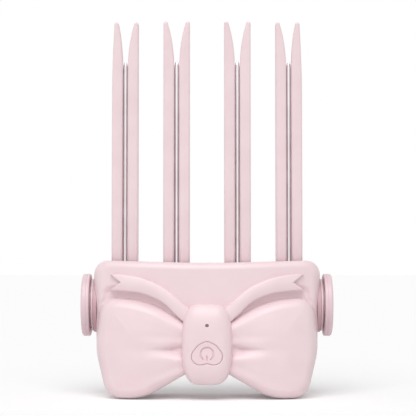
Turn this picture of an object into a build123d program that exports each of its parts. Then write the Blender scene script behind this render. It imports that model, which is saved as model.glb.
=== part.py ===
from build123d import *
import math
import os

# Heated root volumizing clip, in millimetres.
# +Z is up along the prongs, the bow on the front faces -Y, +X is to the right of the bow.
# The origin is on the resting plane, below the middle of the housing.

# Width of the housing, and the heights that stand on each other
body_half_width = 39.8
cell_bottom = 12.9
cell_height = 17.2
cell_top = cell_bottom + cell_height
pin_z = cell_top + 6.8
comb_plate_bottom = pin_z + 5.4
body_end_top = comb_plate_bottom + 5.5
body_mid_top = body_end_top - 1.1

# Housing outline, seen from the front; each corner is (x, z, corner radius)
top_curve_radius = 400.0
top_corner = (body_half_width, body_end_top, 5.0)
hip_corner = (body_half_width - 1.5, 16.0, 25.0)
heel_corner = (body_half_width - 5.4, 0.0, 7.0)
instep_corner = (body_half_width - 17.5, 0.0, 16.0)
arch_height = 9.8
arch_corner = (5.5, arch_height, 4.0)

# Housing plan, curved to the head
front_depth = 12.0
front_radius = 110.0
rear_depth = 12.0
rear_radius = 160.0
plan_corner_radius = 4.0
plan_end_margin = 0.4
wall = 2.0
edge_rounding = 2.4
rounding_steps = 4
rounding_turn_deg = 81.0
parting_y = 6.15
disc_radius = 11.0

# Bow on the front
lobe_front_y = -13.6
lobe_shoulder_y = -8.0
lobe_rear_y = -4.0
lobe_turn_deg = 8.0
lobe_middle = (body_half_width - 17.3, 17.5)
lobe_fullness = 2.8
lobe_wall = 1.8
pillow_steps = 5
pillow_least_size = 0.1
lobe_root_low = (7.0, 9.3, 2.5)
lobe_instep = (body_half_width - 17.3, 0.0, 16.0)
lobe_heel = (body_half_width - 4.8, 0.0, 7.0)
lobe_hip = (body_half_width - 1.0, 16.5, 25.0)
lobe_shoulder = (body_half_width - 2.8, 35.6, 5.0)
lobe_ridge = (body_half_width - 19.3, 34.2, 30.0)
lobe_root_high = (7.0, 26.2, 3.0)
lobe_corners = (lobe_root_low, lobe_instep, lobe_heel, lobe_hip, lobe_shoulder, lobe_ridge, lobe_root_high)
lobe_top = 35.2
tail_rise = 1.3
tail_tip_x = body_half_width - 6.0
tail_notch = (body_half_width - 9.7, 41.1, 0.3)
tail_corners = (
    (4.5, 30.0, 0.3), (16.5, 41.2, 18.0), (tail_tip_x, 43.7, 0.3), tail_notch, (tail_tip_x, 38.1, 0.3),
    (18.6, 37.0, 14.0), (5.0, 23.5, 0.3),
)
knot_half_width = 8.6
knot_end_half_width = 7.7
knot_bottom = 5.1
knot_top = 33.4
knot_corner_radius = 4.6
knot_front_y = -(parting_y + disc_radius)
knot_shoulder_y = -14.2
knot_front_share = 0.74
knot_fullness = 2.4
knot_wall = 1.6
knot_cavity_bottom = 10.4
knot_seat_y = -11.0
knot_clearance = 0.15

# Power button, lamp and their places on the knot
heart_notch = (0.0, 12.9, 0.6)
heart_apex = (0.0, 20.8, 2.0)
heart_corners = ((2.6, 11.6, 2.5), (5.85, 12.4, 2.1), (5.4, 16.6, 3.2))
heart_gap = 0.15
heart_flange = 0.7
heart_travel_gap = 0.05
heart_thickness = 2.8
pad_outer_radius = 3.4
stem_to_switch = 0.36
button_stem_radius = 1.5
button_stem_hole_radius = 1.8
power_z = 15.75
power_ring_radius = 2.3
power_line = 0.45
power_groove_depth = 0.25
power_bar_length = 2.0
power_mouth_half_angle = 38.0
lamp_z = 25.5
lamp_radius = 0.6
lamp_gap = 0.02
lamp_flange_radius = 1.1
lamp_flange_thickness = 0.8
lamp_air_gap = 0.1
lamp_half_width = 0.8
lamp_half_height = 0.5
lamp_front_y = -8.4

# Prongs and rods
pair_inner_x = 10.7
pair_outer_x = body_half_width - 10.9
pair_places = (-pair_outer_x, -pair_inner_x, pair_inner_x, pair_outer_x)
row_radius = 200.0
prong_width = 3.45
prong_slot = 2.3
prong_depth = 5.0
prong_tip_depth = 3.5
prong_tip_width = 1.6
prong_height = 132.1
prong_taper_start = 118.3
outer_taper_start = 108.0
thinning_start = 68.0
tip_overshoot = 0.2
tip_slope = 0.32
outer_tip_slope = 0.2
outer_edge_slope = 0.12
outer_leaf_lean = 0.75
prong_reach_x = body_half_width - 3.5
plate_middle_y = 1.0
plate_depth = 16.0
rod_radius = 0.95
rod_wall = 0.25
rod_tip_z = 118.8
comb_plate_thickness = 2.2
swing_back_gap = 1.3
swing_front_gap = 3.6

# Rocking carrier
pin_y = 5.2
pin_radius = 1.0
pin_running_gap = 0.05
hub_radius = 3.1
hub_half_length = body_half_width - 7.4
hub_neck_radius = 1.7
neck_outer_x = pair_outer_x - 6.3
neck_inner_x = neck_outer_x - 5.0
socket_radius = 2.6
socket_bottom = pin_z - 3.0
socket_top = pin_z + 4.3
web_bottom = pin_z - 2.3
web_top = pin_z + 2.3
front_bar_rear_y = 3.4
front_bar_half_height = 1.6
bush_radius = 1.6
bush_floor = pin_z - 2.0
bush_rim_radius = 2.2
bush_rim_height = 0.4
heater_radius = 0.55
thermistor_half_width = 1.5
thermistor_half_height = 0.8
thermistor_thickness = 1.4
thermistor_sink = 0.4

# Side buttons
button_axis_z = pin_z - 4.9
disc_thickness = 2.8
disc_outer_x = body_half_width + 4.2
disc_rounding = 0.9
boss_radius = 9.65
boss_outer_x = body_half_width + 0.2
boss_thickness = 1.4
barrel_radius = 7.0
collar_inner_x = body_half_width - 3.2
stem_radius = 3.2
stem_clearance = 0.1
spigot_radius = 1.6
spigot_length = 1.5
spring_pocket_radius = 5.6
spring_pocket_floor_x = body_half_width - 2.1
wedge_bar_width = 5.6
wedge_bar_height = 2.4
wedge_root_x = body_half_width - 2.9
wedge_end_x = body_half_width - 1.9
clip_x = body_half_width - 3.85
clip_groove_radius = 2.6
clip_mouth_half = 1.8
contact_radius = 1.2
contact_stub_radius = 0.9
contact_x = body_half_width - 8.6
contact_gap = 0.15
lever_inner_x = body_half_width - 12.4
lever_thickness = 2.2
lever_width = 3.0
clip_thickness = 0.5
clip_radius = 4.4

# Frame, ears and fasteners
frame_front_y = -2.0
frame_thickness = 1.6
frame_top = cell_top + 1.0
ear_inner_x = body_half_width - 7.0
ear_outer_x = body_half_width - 5.2
ear_shelf_x = body_half_width - 3.6
ear_shelf_y = 4.8
ear_shelf_z = pin_z + 1.6
ear_front_y = -2.0
ear_rear_y = 9.5
ear_bottom = 24.0
tray_rib = 1.2
tray_depth = 5.8
case_boss_radius = 2.5
case_screw_radius = 1.0
case_head_y = 11.5
case_screw_low = (body_half_width - 10.8, 8.5)
case_screw_high = (body_half_width - 11.6, 25.8)
case_screw_places = (case_screw_low, case_screw_high)
case_screw_end_y = -1.0
frame_screw_place = (body_half_width - 19.3, 8.4)
frame_screw_radius = 0.9
frame_screw_grip = 3.0
frame_boss_radius = 2.1
post_radius = 1.8
screw_head_radius = 1.9
screw_head_height = 1.2
board_screw_radius = 0.8
comb_screw_x = body_half_width - 5.4
comb_screw_gap = 0.6
comb_screw_radius = 0.7
comb_screw_length = 3.4
small_head_radius = 1.5
small_head_height = 0.9

# Electronics
board_half_width = 17.5
board_screw_margin = 2.5
board_screw_x = board_half_width - board_screw_margin
board_screw_places = ((board_screw_x, 14.2), (board_screw_x, 28.8))
board_bottom = 12.2
board_top = 31.0
board_front_y = -7.6
board_thickness = 1.2
cell_half_width = body_half_width - 17.3
cell_thickness = 6.8
cell_rounding = 1.2
pad_thickness = 0.4
pad_middle_x = 13.5
pad_half_width = 3.0
pad_margin = 1.0
shield_thickness = 0.4
shield_half_width = cell_half_width - 1.0
switch_size = 4.5
switch_height = 1.6
switch_key_radius = 1.0
switch_front_y = -9.7

# Parts on the rear of the board; each is (left x, bottom z, width, height, thickness)
controller_chip = (3.5 - board_half_width, 19.0, 6.0, 6.0, 1.0)
charger_chip = (7.5, 18.0, 5.0, 5.0, 1.2)
boost_choke = (-6.0, 22.0, 4.0, 4.0, 2.4)
heater_driver = (2.0, 22.5, 3.0, 3.0, 1.0)
crystal = (4.5 - board_half_width, 26.5, 2.4, 1.4, 0.8)
fuse = (8.0, 25.5, 3.2, 1.6, 0.9)

# Wiring and charging socket
lead_x = cell_half_width + 3.5
lead_z = 20.0
lead_radius = 0.5
lead_bend_radius = 1.5
lead_cell_y = 3.4
lead_board_x = board_half_width - board_screw_margin
flex_route = ((1.2, pin_z - 1.7), (-3.4, pin_z - 4.5), (-5.9, board_top), (-6.15, board_top - 2.4))
flex_thickness = 0.3
flex_half_width = 4.0
usb_width = 8.94
usb_thickness = 3.2
usb_length = 7.0
usb_wall = 0.3
usb_back = 1.0
usb_tongue_half_width = 3.27
usb_tongue_half_thickness = 0.35
usb_y = -4.8
usb_mouth_z = 10.1
usb_opening_gap = 0.2

# Springs
torsion_wire = 0.5
torsion_mean_radius = 2.35
torsion_turns = 5
return_wire = 0.6
return_mean_radius = 4.7
return_turns = 3
spring_end_gap = 0.05

# Clearances shared by all pieces, and how far the model reaches past a cut
fit_gap = 0.3
seat_gap = 0.05
overcut = 10.0


# Small helpers

def front_prism(sketch, y_front, y_rear):
    """Solid of a front-view outline between two depths."""
    return extrude(Plane.XZ.offset(-y_rear) * sketch, amount=y_rear - y_front)


def plan_prism(sketch, z_low, z_high):
    """Solid of a plan outline between two heights."""
    return extrude(Plane.XY.offset(z_low) * sketch, amount=z_high - z_low)


def block(x, y, z):
    """Box between pairs of coordinates along X, Y and Z."""
    size = (x[1] - x[0], y[1] - y[0], z[1] - z[0])
    middle = ((x[0] + x[1]) / 2, (y[0] + y[1]) / 2, (z[0] + z[1]) / 2)
    return Pos(*middle) * Box(*size)


def rod_x(radius, x_from, x_to, y, z):
    """Cylinder along X."""
    middle = Pos((x_from + x_to) / 2, y, z)
    return middle * Rot(0, 90, 0) * Cylinder(radius, abs(x_to - x_from))


def rod_y(radius, y_from, y_to, x, z):
    """Cylinder along Y."""
    return Pos(x, (y_from + y_to) / 2, z) * Rot(90, 0, 0) * Cylinder(radius, abs(y_to - y_from))


def rod_z(radius, z_from, z_to, x, y):
    """Cylinder along Z."""
    return Pos(x, y, (z_from + z_to) / 2) * Cylinder(radius, abs(z_to - z_from))


def both_sides(shape):
    """A shape and its mirror image about the middle of the clip."""
    return shape + mirror(shape, about=Plane.YZ)


def front_surface_y(x):
    """Depth of the housing's front face at a place along its width."""
    return front_radius - front_depth - math.sqrt(front_radius ** 2 - x ** 2)


def rear_surface_y(x):
    """Depth of the housing's rear face at a place along its width."""
    return rear_radius + rear_depth - math.sqrt(rear_radius ** 2 - x ** 2)


def row_y(x):
    """Depth of the row of prongs and rods, which follows the head."""
    return row_radius - math.sqrt(row_radius ** 2 - x ** 2)


def comb_screw_y():
    """Depth of the two comb screws, whose heads stay behind the outermost prongs."""
    return row_y(pair_outer_x) + prong_depth / 2 + small_head_radius + comb_screw_gap


# Housing outlines

def rounded_outline(corners):
    """Closed outline through corners given as (x, z, radius)."""
    points = [corner[:2] for corner in corners]
    return make_face(FilletPolyline(*points, radius=[corner[2] for corner in corners], close=True))


def mirrored(corners):
    """The corners of a right half, mirrored and turned round, so that they carry on from it."""
    return [(-x, z, radius) for x, z, radius in reversed(corners)]


def silhouette(inset=0.0):
    """Front-view outline of the housing, drawn in by the inset."""
    right = [arch_corner, instep_corner, heel_corner, hip_corner, top_corner]
    face = rounded_outline(right + [(0, body_mid_top, top_curve_radius)] + mirrored(right))
    return offset(face, amount=-inset) if inset else face


def plan(inset=0.0):
    """Plan outline of the housing, a crescent that follows the head, drawn in by the inset."""
    crescent = Rectangle(2 * (body_half_width + plan_end_margin - inset), 4 * front_depth)
    crescent = crescent & Pos(0, front_radius - front_depth) * Circle(front_radius - inset)
    crescent = crescent - Pos(0, rear_radius + rear_depth) * Circle(rear_radius + inset)
    return fillet(crescent.vertices(), plan_corner_radius - min(inset, plan_corner_radius / 2))


def rounded_plan_column():
    """Column on the housing's plan whose top edge is rounded off."""
    column = plan_prism(plan(), -overcut, body_end_top - edge_rounding)
    sections = []
    for step in range(rounding_steps + 1):
        turn = math.radians(rounding_turn_deg * step / rounding_steps)
        height = body_end_top - edge_rounding * (1 - math.sin(turn))
        sections.append(Plane.XY.offset(height) * plan(edge_rounding * (1 - math.cos(turn))))
    return column + loft(sections, ruled=True)


def housing(inset=0.0):
    """Solid of the whole housing without the bow, drawn in by the inset."""
    depth = rear_surface_y(body_half_width) + overcut
    across = front_prism(silhouette(inset), -depth, depth)
    if inset:
        return across & plan_prism(plan(inset), -overcut, body_end_top + overcut)
    return across & rounded_plan_column()


# Bow outlines, right half

def lobe_outline():
    """Front-view outline of the right lobe, from its root under the knot to the foot."""
    return rounded_outline(lobe_corners)


def tail_outline():
    """Front-view outline of the right ribbon tail, with its notched end."""
    return rounded_outline(tail_corners)


def knot_outline(outset=0.0):
    """Front-view outline of the knot, a barrel with rounded corners."""
    middle_z = (knot_bottom + knot_top) / 2
    right = ThreePointArc((knot_end_half_width, knot_bottom), (knot_half_width, middle_z),
                          (knot_end_half_width, knot_top))
    left = ThreePointArc((-knot_end_half_width, knot_top), (-knot_half_width, middle_z),
                         (-knot_end_half_width, knot_bottom))
    top = Line(right @ 1, left @ 0)
    bottom = Line(left @ 1, right @ 0)
    face = make_face(Curve() + [right, top, left, bottom])
    face = fillet(face.vertices(), knot_corner_radius)
    return offset(face, amount=outset) if outset else face


def heart_outline(outset=0.0):
    """Front-view outline of the power button: a heart that stands on its two lobes."""
    face = rounded_outline([heart_notch, *heart_corners, heart_apex] + mirrored(heart_corners))
    return offset(face, amount=outset) if outset else face


# Housing shells

def pillow(outline, middle, y_rear, y_shoulder, y_front, fullness, share=0.0):
    """Cushion-like solid: a front-view outline that shrinks about its middle as it comes forward."""
    def section(y, size):
        return Plane.XZ.offset(-y) * Pos(*[(1 - size) * place for place in middle]) * scale(outline, by=size)

    sections = [section(y_rear, 1.0)]
    for step in range(pillow_steps + 1):
        turn = math.radians(90.0 * step / pillow_steps)
        size = share + (1 - share) * max(math.cos(turn), 0) ** (2 / fullness)
        rise = math.sin(turn) ** (2 / fullness)
        sections.append(section(y_shoulder + (y_front - y_shoulder) * rise, max(size, pillow_least_size)))
    return loft(sections, ruled=True)


def lobe(inset=0.0):
    """Right bow lobe, drawn in by the inset and turned to follow the housing's front."""
    outline = lobe_outline()
    if inset:
        share = 1 - inset / (lobe_top - lobe_middle[1])
        outline = Pos(*[(1 - share) * place for place in lobe_middle]) * scale(outline, by=share)
    body = pillow(outline, lobe_middle, lobe_rear_y, lobe_shoulder_y, lobe_front_y + inset, lobe_fullness)
    hinge = Pos(lobe_middle[0], lobe_shoulder_y, 0)
    return hinge * Rot(0, 0, lobe_turn_deg) * hinge.inverse() * body


def tail():
    """Right ribbon tail, a thin skin that follows the housing's front."""
    prism = front_prism(tail_outline(), -front_depth - 2 * tail_rise, 0)
    return prism & plan_prism(plan(-tail_rise), 0, body_end_top)


def prong_openings():
    """Openings in the housing's top, one for each pair of prongs with its rod."""
    half = prong_slot / 2 + prong_width + fit_gap
    cuts = [
        block((x - half, x + half), (row_y(x) - swing_front_gap, row_y(x) + prong_depth / 2 + fit_gap),
              (comb_plate_bottom + comb_plate_thickness, body_end_top + 1))
        for x in pair_places
    ]
    return Part() + cuts


def side_openings():
    """Stepped holes in the housing's ends for the two guide collars."""
    seat = rod_x(boss_radius + seat_gap, boss_outer_x - boss_thickness, body_half_width + wall,
                 parting_y, button_axis_z)
    through = rod_x(barrel_radius + seat_gap, collar_inner_x - wall, body_half_width,
                    parting_y, button_axis_z)
    return both_sides(seat + through)


def screw_columns(radius, y_front, y_rear):
    """Columns on the lines of the four case screws."""
    columns = [rod_y(radius, y_front, y_rear, x, z) for x, z in case_screw_places]
    return both_sides(Part() + columns)


def front_shell():
    """Front half of the housing, with the bow moulded on it."""
    shell = housing() + both_sides(tail()) + both_sides(lobe())
    shell = shell - housing(wall) - both_sides(lobe(lobe_wall))
    shell = shell & front_space()
    inside = housing(wall / 2) + both_sides(lobe(lobe_wall / 2))
    columns = screw_columns(case_boss_radius, 2 * lobe_front_y, parting_y)
    columns += both_sides(rod_y(frame_boss_radius, 2 * lobe_front_y, frame_front_y, *frame_screw_place))
    shell += columns & inside
    shell -= screw_columns(case_screw_radius, case_screw_end_y, parting_y)
    grip_y = frame_front_y - frame_screw_grip
    shell -= both_sides(rod_y(frame_screw_radius, grip_y, frame_front_y, *frame_screw_place))
    seat = front_prism(knot_outline(knot_clearance), -2 * front_depth, knot_seat_y)
    shell = shell - seat - rod_y(button_stem_hole_radius, knot_seat_y, 0, 0, power_z)
    shell -= rod_y(lamp_radius + knot_clearance, knot_seat_y, 0, 0, lamp_z)
    return shell - side_openings() - prong_openings() - usb_opening()


def rear_shell():
    """Rear half of the housing, which lies against the head, with the screw columns."""
    shell = housing() - housing(wall)
    shell = shell - front_space()
    inside = housing(wall / 2) - front_space()
    shell += screw_columns(case_boss_radius, parting_y, rear_depth + overcut) & inside
    shell -= screw_columns(case_screw_radius, 0, 2 * rear_depth)
    shell -= screw_columns(screw_head_radius + fit_gap, case_head_y, 2 * rear_depth)
    return shell - side_openings() - prong_openings()


def front_space():
    """All the space in front of the parting plane."""
    reach = 3 * body_half_width
    return block((-reach, reach), (-reach, parting_y), (-overcut, reach))


def usb_opening():
    """Opening in the arch for the charging plug."""
    slot = SlotOverall(usb_width + 2 * usb_opening_gap, usb_thickness + 2 * usb_opening_gap)
    return plan_prism(Pos(0, usb_y) * slot, 0, arch_height + 2 * wall)


# Knot with the power button and the lamp

def knot(inset=0.0):
    """Solid of the knot, drawn in by the inset."""
    outline = knot_outline(-inset)
    middle = (0, (knot_bottom + knot_top) / 2)
    return pillow(outline, middle, knot_seat_y, knot_shoulder_y, knot_front_y + inset,
                  knot_fullness, knot_front_share)


def knot_cover():
    """Hollow knot with a window for the power button and a hole for the lamp."""
    cavity_floor = block((-body_half_width, body_half_width), (-front_depth * 2, 0),
                         (knot_cavity_bottom, body_end_top))
    cover = knot() - (knot(knot_wall) & cavity_floor)
    cover -= front_prism(heart_outline(heart_gap), 2 * knot_front_y, knot_front_y + 2 * knot_wall)
    cover -= front_prism(heart_outline(heart_flange + heart_gap), knot_front_y + knot_wall, knot_seat_y)
    return cover - rod_y(lamp_radius + lamp_gap, 2 * knot_front_y, knot_seat_y, 0, lamp_z)


def power_symbol():
    """Grooves of the power symbol: a ring that is open at the bottom and a short bar in the opening."""
    ring = Circle(power_ring_radius + power_line / 2) - Circle(power_ring_radius - power_line / 2)
    mouth_reach = 2 * power_ring_radius
    mouth_half = mouth_reach * math.tan(math.radians(power_mouth_half_angle))
    ring -= make_face(Polyline((0, 0), (-mouth_half, -mouth_reach), (mouth_half, -mouth_reach), close=True))
    bar_middle = power_bar_length / 2 - power_ring_radius - power_line
    bar = Pos(0, bar_middle) * Rectangle(power_line, power_bar_length)
    sketch = Pos(0, power_z) * (ring + bar)
    return front_prism(sketch, 2 * knot_front_y, knot_front_y + power_groove_depth)


def power_button():
    """Heart-shaped push button with a stem that reaches the switch."""
    plate = front_prism(heart_outline(), knot_front_y, knot_front_y + heart_thickness)
    flange = front_prism(heart_outline(heart_flange), knot_front_y + knot_wall + heart_travel_gap,
                         knot_front_y + heart_thickness)
    stem = rod_y(button_stem_radius, knot_front_y + heart_thickness, switch_front_y - stem_to_switch,
                 0, power_z)
    return plate + flange + stem - power_symbol()


def button_pad():
    """Silicone ring behind the power button, which pushes it out again."""
    ring = rod_y(pad_outer_radius, knot_front_y + heart_thickness, knot_seat_y, 0, power_z)
    return ring - rod_y(button_stem_radius + fit_gap, knot_front_y, 0, 0, power_z)


def led_light_pipe():
    """Clear pin that brings the lamp's light to the front of the knot."""
    pipe = rod_y(lamp_radius, knot_front_y, lamp_front_y - lamp_air_gap, 0, lamp_z)
    return pipe + rod_y(lamp_flange_radius, knot_seat_y - lamp_flange_thickness, knot_seat_y, 0, lamp_z)


# Comb and heating rods

def prong_face(outer_leaf):
    """Front view of one prong, its slot side at the left; an outermost prong tapers on both sides."""
    inner_x = prong_slot / 2
    outer_x = inner_x + prong_width
    base_z = comb_plate_bottom + comb_plate_thickness / 2
    tip_left = (outer_x - prong_tip_width, prong_height - prong_tip_width / 2)
    inner_side = Line((inner_x, base_z), (inner_x, prong_taper_start))
    inner_curve = Spline(inner_side @ 1, tip_left, tangents=((0, 1), (tip_slope, 1)))
    if outer_leaf:
        lean = outer_leaf_lean
        tip_left = (tip_left[0] - lean, tip_left[1])
        inner_curve = Spline(inner_side @ 1, tip_left, tangents=((0, 1), (outer_tip_slope, 1)))
        outer_side = Line((outer_x, outer_taper_start), (outer_x, base_z))
        outer_curve = Spline((outer_x - lean, tip_left[1]), outer_side @ 0,
                             tangents=((outer_edge_slope, -1), (0, -1)))
        outline = [inner_side, inner_curve, outer_curve, outer_side]
    else:
        lean = 0.0
        outline = [inner_side, inner_curve, Line((outer_x, tip_left[1]), (outer_x, base_z))]
    tip = ThreePointArc(inner_curve @ 1, (outer_x - lean - prong_tip_width / 2, prong_height),
                        (outer_x - lean, tip_left[1]))
    base = Line((outer_x, base_z), (inner_x, base_z))
    return make_face(Curve() + outline + [tip, base])


def prong(x, side, outer_leaf):
    """One prong of the pair at x, on its left or right side, thinner from front to back at its tip."""
    flat = front_prism(prong_face(outer_leaf), -prong_depth, prong_depth)
    tip_half = prong_tip_depth / 2
    rear_edge = [(prong_depth / 2, comb_plate_bottom), (prong_depth / 2, thinning_start),
                 (tip_half, prong_height - tip_half), (tip_half / 2, prong_height + tip_overshoot)]
    front_edge = [(-y, z) for y, z in reversed(rear_edge)]
    flank = Polyline(*rear_edge, *front_edge, close=True)
    profile = extrude(Plane.YZ * make_face(flank), amount=prong_slot + 2 * prong_width)
    body = flat & profile
    if side < 0:
        body = mirror(body, about=Plane.YZ)
    return Pos(x, row_y(x), 0) * body


def comb_plate():
    """Crescent plate that carries the prongs, under the housing's top, with a slot for each rod."""
    reach = prong_reach_x
    outline = plan(wall + fit_gap) & Rectangle(2 * reach, 4 * front_depth)
    outline = outline & Pos(0, plate_middle_y) * Rectangle(3 * reach, plate_depth)
    plate = plan_prism(outline, comb_plate_bottom, comb_plate_bottom + comb_plate_thickness)
    for x in pair_places:
        plate -= block((x - prong_slot / 2, x + prong_slot / 2),
                       (row_y(x) - swing_front_gap, row_y(x) + swing_back_gap),
                       (comb_plate_bottom - overcut, comb_plate_bottom + overcut))
    head_z = comb_plate_bottom + comb_plate_thickness - small_head_height
    plate -= both_sides(rod_z(small_head_radius + seat_gap, head_z, body_end_top, comb_screw_x, comb_screw_y()))
    return plate - both_sides(rod_z(comb_screw_radius, 0, body_end_top, comb_screw_x, comb_screw_y()))


def prong_comb():
    """Eight prongs in four pairs on their plate."""
    comb = comb_plate()
    for x in pair_places:
        for side in (-1, 1):
            comb += prong(x, side, outer_leaf=abs(x) == pair_outer_x and side * x > 0)
    return comb


def heating_rod(x):
    """Steel tube with a round tip, open at its foot."""
    tip_middle = rod_tip_z - rod_radius
    tube = rod_z(rod_radius, bush_floor, tip_middle, x, row_y(x))
    tube += Pos(x, row_y(x), tip_middle) * Sphere(rod_radius)
    return tube - rod_z(rod_radius - rod_wall, bush_floor - overcut, tip_middle, x, row_y(x))


def heater_core(x):
    """Ceramic heating element inside a rod, with its foot in the carrier."""
    return rod_z(heater_radius, bush_floor, rod_tip_z - 3 * rod_radius, x, row_y(x))


def rod_bush(x):
    """Insulating bush between a rod and the carrier, with a rim on top."""
    bush = rod_z(bush_radius, bush_floor, socket_top, x, row_y(x))
    bush += rod_z(bush_rim_radius, socket_top, socket_top + bush_rim_height, x, row_y(x))
    return bush - rod_z(rod_radius, bush_floor - overcut, socket_top + overcut, x, row_y(x))


# Rocking carrier

def rod_carrier():
    """Rocking bar with the rod sockets, the hub round the pin and the two levers."""
    carrier = rod_x(hub_radius, -hub_half_length, hub_half_length, pin_y, pin_z)
    for x in pair_places:
        carrier += rod_z(socket_radius, socket_bottom, socket_top, x, row_y(x))
        carrier += block((x - socket_radius, x + socket_radius), (row_y(x), pin_y), (web_bottom, web_top))
    front_bar_y = (row_y(pair_inner_x) - socket_radius / 2, front_bar_rear_y)
    carrier += block((-pair_outer_x, pair_outer_x), front_bar_y,
                     (pin_z - front_bar_half_height, pin_z + front_bar_half_height))
    for side in (-1, 1):
        lever_x = sorted((side * lever_inner_x, side * (lever_inner_x + lever_thickness)))
        carrier += block(lever_x, (pin_y - lever_width / 2, pin_y + lever_width / 2),
                         (button_axis_z - contact_radius, pin_z - hub_radius / 2))
        carrier += rod_x(contact_stub_radius, side * (lever_inner_x + lever_thickness / 2), side * contact_x,
                         pin_y, button_axis_z)
        carrier += Pos(side * contact_x, pin_y, button_axis_z) * Rot(0, 0, 90) * Sphere(contact_radius)
    for x in pair_places:
        carrier -= rod_z(bush_radius, bush_floor, socket_top + overcut, x, row_y(x))
    neck = rod_x(2 * hub_radius, neck_inner_x, neck_outer_x, pin_y, pin_z)
    neck -= rod_x(hub_neck_radius, 0, body_half_width, pin_y, pin_z)
    neck -= block((0, body_half_width), (-body_half_width, pin_y - hub_radius - fit_gap), (0, body_end_top))
    carrier = carrier - both_sides(neck) - thermistor()
    return carrier - rod_x(pin_radius + pin_running_gap, -body_half_width, body_half_width, pin_y, pin_z)


def hinge_pin():
    """Steel pin that the carrier rocks on, held in the frame's ears."""
    return rod_x(pin_radius, -ear_outer_x, ear_outer_x, pin_y, pin_z)


def thermistor():
    """Small temperature sensor on the carrier's middle."""
    front_y = pin_y + hub_radius - thermistor_sink
    return block((-thermistor_half_width, thermistor_half_width), (front_y, front_y + thermistor_thickness),
                 (pin_z - thermistor_half_height, pin_z + thermistor_half_height))


def coil(mean_radius, wire, turns, length):
    """Helical spring along Z with flat ends at the given length apart."""
    path = Helix(pitch=(length - wire) / turns, height=length - wire, radius=mean_radius)
    profile = Plane(origin=path @ 0, z_dir=path % 0) * Circle(wire / 2)
    return Pos(0, 0, wire / 2) * sweep(profile, path=path, is_frenet=True)


def torsion_spring():
    """Spring round the right neck of the carrier's hub, which closes the rods."""
    length = neck_outer_x - neck_inner_x - 2 * spring_end_gap
    return Pos(neck_inner_x + spring_end_gap, pin_y, pin_z) * Rot(0, 90, 0) * coil(
        torsion_mean_radius, torsion_wire, torsion_turns, length)


# Side buttons, right hand

def button_cap():
    """Round disc that is squeezed, with a rounded rim and a socket for its stem."""
    disc = rod_x(disc_radius, disc_outer_x - disc_thickness, disc_outer_x, parting_y, button_axis_z)
    disc = fillet(disc.edges().group_by(Axis.X)[-1], disc_rounding)
    socket_end_x = disc_outer_x - disc_thickness + spigot_length
    return disc - rod_x(spigot_radius, 0, socket_end_x, parting_y, button_axis_z)


def plunger():
    """Stem of the side button with its wedge, which pushes the carrier's lever to the rear."""
    disc_inner_x = disc_outer_x - disc_thickness
    stem = rod_x(stem_radius, wedge_root_x, disc_inner_x, parting_y, button_axis_z)
    stem += rod_x(spigot_radius, wedge_root_x, disc_inner_x + spigot_length, parting_y, button_axis_z)
    corner_sum = contact_x - pin_y + math.sqrt(2) * (contact_radius + contact_gap)
    bar_half = wedge_bar_width / 2
    low_y, high_y = parting_y - bar_half, parting_y + bar_half
    outline = Polyline((corner_sum + low_y, low_y), (wedge_end_x, low_y),
                       (wedge_end_x, high_y), (corner_sum + high_y, high_y), close=True)
    bar = plan_prism(make_face(outline), button_axis_z - wedge_bar_height / 2,
                     button_axis_z + wedge_bar_height / 2)
    groove = rod_x(clip_radius, clip_x, clip_x + clip_thickness, parting_y, button_axis_z)
    groove -= rod_x(clip_groove_radius, clip_x, clip_x + clip_thickness, parting_y, button_axis_z)
    return stem + bar - groove


def retaining_clip():
    """Spring-steel clip in the plunger's groove, which stops it in its collar."""
    clip = rod_x(clip_radius, clip_x, clip_x + clip_thickness, parting_y, button_axis_z)
    clip -= rod_x(clip_groove_radius, 0, body_half_width, parting_y, button_axis_z)
    mouth = block((0, body_half_width), (parting_y, 2 * parting_y),
                  (button_axis_z - clip_mouth_half, button_axis_z + clip_mouth_half))
    return clip - mouth


def guide_collar():
    """Round boss in the housing's end that guides the plunger and holds the return spring."""
    collar = rod_x(boss_radius, boss_outer_x - boss_thickness, boss_outer_x, parting_y, button_axis_z)
    collar += rod_x(barrel_radius, collar_inner_x, boss_outer_x, parting_y, button_axis_z)
    mouth_x = boss_outer_x + overcut
    collar -= rod_x(spring_pocket_radius, spring_pocket_floor_x, mouth_x, parting_y, button_axis_z)
    return collar - rod_x(stem_radius + stem_clearance, 0, mouth_x, parting_y, button_axis_z)


def return_spring():
    """Spring round the stem that pushes the disc out."""
    length = disc_outer_x - disc_thickness - spring_pocket_floor_x - 2 * spring_end_gap
    return Pos(spring_pocket_floor_x + spring_end_gap, parting_y, button_axis_z) * Rot(0, 90, 0) * coil(
        return_mean_radius, return_wire, return_turns, length)


# Frame and electronics

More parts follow.
